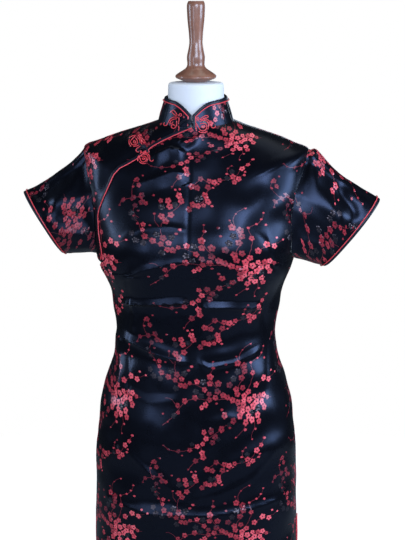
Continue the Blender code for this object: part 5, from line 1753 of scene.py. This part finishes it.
class MakeBlossoms(CheongsamOperator, bpy.types.Operator):
    """Weave the plum branches into each piece of the brocade"""

    bl_idname = "cheongsam.blossoms"
    bl_label = "Plum branches"

    def execute(self, context):
        right_sleeve = moved_flat(-0.065, -0.050, 1, -1)
        left_sleeve = moved_flat(-0.050, -0.030, -1, -1)
        weave_pattern("front_blossoms", "front_panel", laid_flat(FRONT_LAY, FRONT_TIP), (-2, 3), (-3, 3))
        weave_pattern("back_blossoms", "back_panel", laid_flat(BACK_LAY, BACK_TIP), (-2, 3), (-3, 3))
        # The last number darkens the red blossoms of a whole piece as painted shade, most on the right sleeve.
        weave_pattern("underlap_blossoms", "underlap_panel", moved_flat(-0.165, 1.347), (-2, 3), (-2, 2), 0.8)
        weave_pattern("sleeve_right_blossoms", "sleeve_right", right_sleeve, (-2, 3), (-2, 3), 0.62)
        weave_pattern("sleeve_left_blossoms", "sleeve_left", left_sleeve, (-2, 3), (-2, 3), 0.85)
        weave_pattern("collar_blossoms", "collar", moved_flat(0.176, 0.075), (-1, 4), (-1, 2))
        return {"FINISHED"}


class MakeFrogs(CheongsamOperator, bpy.types.Operator):
    """Lay the red frog closures and the black button knots on the collar and the placket"""

    bl_idname = "cheongsam.frogs"
    bl_label = "Frogs and knots"

    def execute(self, context):
        names = ["front_panel_cloth", "underlap_panel_cloth", "collar_cloth", "collar_binding_satin",
                 "collar_piping_cord", "placket_binding_satin", "placket_piping_cord"]
        tree = surface_tree(names)
        for frog in FROGS:
            make_frog(tree, frog)
        for knot in KNOTS:
            make_knot(tree, knot)
        return {"FINISHED"}


class MakeForm(CheongsamOperator, bpy.types.Operator):
    """Make the limbless form in its white jersey cover"""

    bl_idname = "cheongsam.form"
    bl_label = "Dress form"

    def execute(self, context):
        make_form()
        return {"FINISHED"}


class MakeStand(CheongsamOperator, bpy.types.Operator):
    """Turn the finial, the pole and the base"""

    bl_idname = "cheongsam.stand"
    bl_label = "Turned stand"

    def execute(self, context):
        segments = sizes().turning_segments
        turn_on_lathe("finial_turning", FINIAL, NECK_TOP + SEAM_GAP, "finial", segments)
        turn_on_lathe("pole_turning", pole_profile(), BASE_HEIGHT + SEAM_GAP, "pole", segments)
        turn_on_lathe("base_turning", BASE, 0.0, "base", segments)
        return {"FINISHED"}


def soft_light(name, place, aim, width, height, power, colour):
    light = bpy.data.lights.new(name, "AREA")
    light.shape = "RECTANGLE"
    light.size = width
    light.size_y = height
    light.energy = power
    light.color = colour
    lamp = bpy.data.objects.new(name, light)
    lamp.location = place
    lamp.rotation_euler = (Vector(aim) - Vector(place)).to_track_quat("-Z", "Y").to_euler()
    bpy.context.scene.collection.objects.link(lamp)
    return lamp


class MakeStage(CheongsamOperator, bpy.types.Operator):
    """Set up the pale floor, the soft daylight and the camera"""

    bl_idname = "cheongsam.stage"
    bl_label = "Studio"

    def execute(self, context):
        scene = context.scene
        scene.view_settings.view_transform = "Standard"
        bpy.ops.object.select_all(action="DESELECT")
        bpy.ops.mesh.primitive_cylinder_add(
            vertices=128, radius=sizes().floor_radius, depth=0.02, location=(0.0, 0.0, -0.0102)
        )
        floor = context.active_object
        floor.name = "studio_floor"
        pale, tree, shader = start_finish("pale_floor", (0.30, 0.30, 0.30), 0.9)
        speckle = node(tree, "ShaderNodeTexNoise", Scale=60.0, Detail=2.0).outputs["Fac"]
        tree.links.new(mixed(tree, speckle, (0.28, 0.28, 0.28), (0.33, 0.33, 0.33)), shader.inputs["Base Color"])
        shader.inputs["Emission Color"].default_value = (1.0, 1.0, 1.0, 1.0)
        path = node(tree, "ShaderNodeLightPath")
        tree.links.new(ranged(tree, path.outputs["Is Camera Ray"], 0.0, 0.95), shader.inputs["Emission Strength"])
        floor.data.materials.append(pale)

        world = bpy.data.worlds.new("studio")
        world.use_nodes = True
        tree = world.node_tree
        tree.nodes.clear()
        path = node(tree, "ShaderNodeLightPath")
        seen = node(tree, "ShaderNodeBackground", Color=(1.0, 1.0, 1.0, 1.0), Strength=1.0)
        room = node(tree, "ShaderNodeBackground", Color=(0.62, 0.76, 1.0, 1.0), Strength=0.03)
        both = node(tree, "ShaderNodeMixShader")
        tree.links.new(path.outputs["Is Camera Ray"], both.inputs["Fac"])
        tree.links.new(room.outputs["Background"], both.inputs[1])
        tree.links.new(seen.outputs["Background"], both.inputs[2])
        output = node(tree, "ShaderNodeOutputWorld")
        tree.links.new(both.outputs["Shader"], output.inputs["Surface"])
        scene.world = world

        soft_light("window", (0.9, -3.4, 2.35), (0.0, 0.0, 1.20), 1.9, 1.2, 128.0, (0.62, 0.76, 1.0))
        soft_light("ceiling", (0.2, 0.3, 3.3), (0.0, 0.0, 1.3), 1.8, 1.4, 10.0, (0.95, 0.97, 0.88))
        soft_light("left_wall", (-2.8, -0.5, 1.7), (0.0, 0.0, 1.1), 0.7, 1.4, 36.0, (0.62, 0.78, 1.0))
        soft_light("doorway", (-1.4, -3.0, 1.3), (0.0, 0.0, 1.05), 1.0, 1.2, 21.0, (0.62, 0.76, 1.0))
        soft_light("right_wall", (2.9, -0.8, 1.8), (0.0, 0.0, 1.15), 1.6, 1.3, 104.0, (0.56, 0.74, 1.0))
        soft_light("back_wall", (0.4, 3.0, 1.3), (0.0, 0.0, 1.0), 1.8, 1.0, 15.0, (0.70, 0.82, 1.0))

        view = bpy.data.cameras.new("photo_view")
        view.sensor_fit = "VERTICAL"
        view.sensor_height = 24.0
        view.lens = 63.19
        view.shift_x = 0.0120
        camera = bpy.data.objects.new("photo_view", view)
        camera.location = (0.30467, -2.48137, 1.66)
        camera.rotation_euler = (math.radians(90.0 - 11.673), 0.0, math.radians(7.0))
        scene.collection.objects.link(camera)
        scene.camera = camera
        return {"FINISHED"}


OPERATORS = (MakePanels, MakeSleeves, MakeCollar, MakeBlossoms, MakeFrogs, MakeForm, MakeStand, MakeStage)


class CheongsamPanel(bpy.types.Panel):
    """Lists the pieces that can be made."""

    bl_idname = "VIEW3D_PT_cheongsam"
    bl_label = "Cheongsam"
    bl_space_type = "VIEW_3D"
    bl_region_type = "UI"
    bl_category = "Cheongsam"

    def draw(self, context):
        for name in CheongsamSettings.__annotations__:
            self.layout.prop(context.scene.cheongsam, name)
        for made in OPERATORS:
            self.layout.operator(made.bl_idname)


CLASSES = (CheongsamSettings, *OPERATORS, CheongsamPanel)


def register():
    for each in CLASSES:
        bpy.utils.register_class(each)
    bpy.types.Scene.cheongsam = PointerProperty(type=CheongsamSettings)


def unregister():
    del bpy.types.Scene.cheongsam
    for each in reversed(CLASSES):
        bpy.utils.unregister_class(each)


def main():
    register()
    bpy.ops.cheongsam.panels()
    bpy.ops.cheongsam.sleeves()
    bpy.ops.cheongsam.collar()
    bpy.ops.cheongsam.blossoms()
    bpy.ops.cheongsam.frogs()
    bpy.ops.cheongsam.form()
    bpy.ops.cheongsam.stand()
    bpy.ops.cheongsam.stage()


if __name__ == "__main__":
    main()
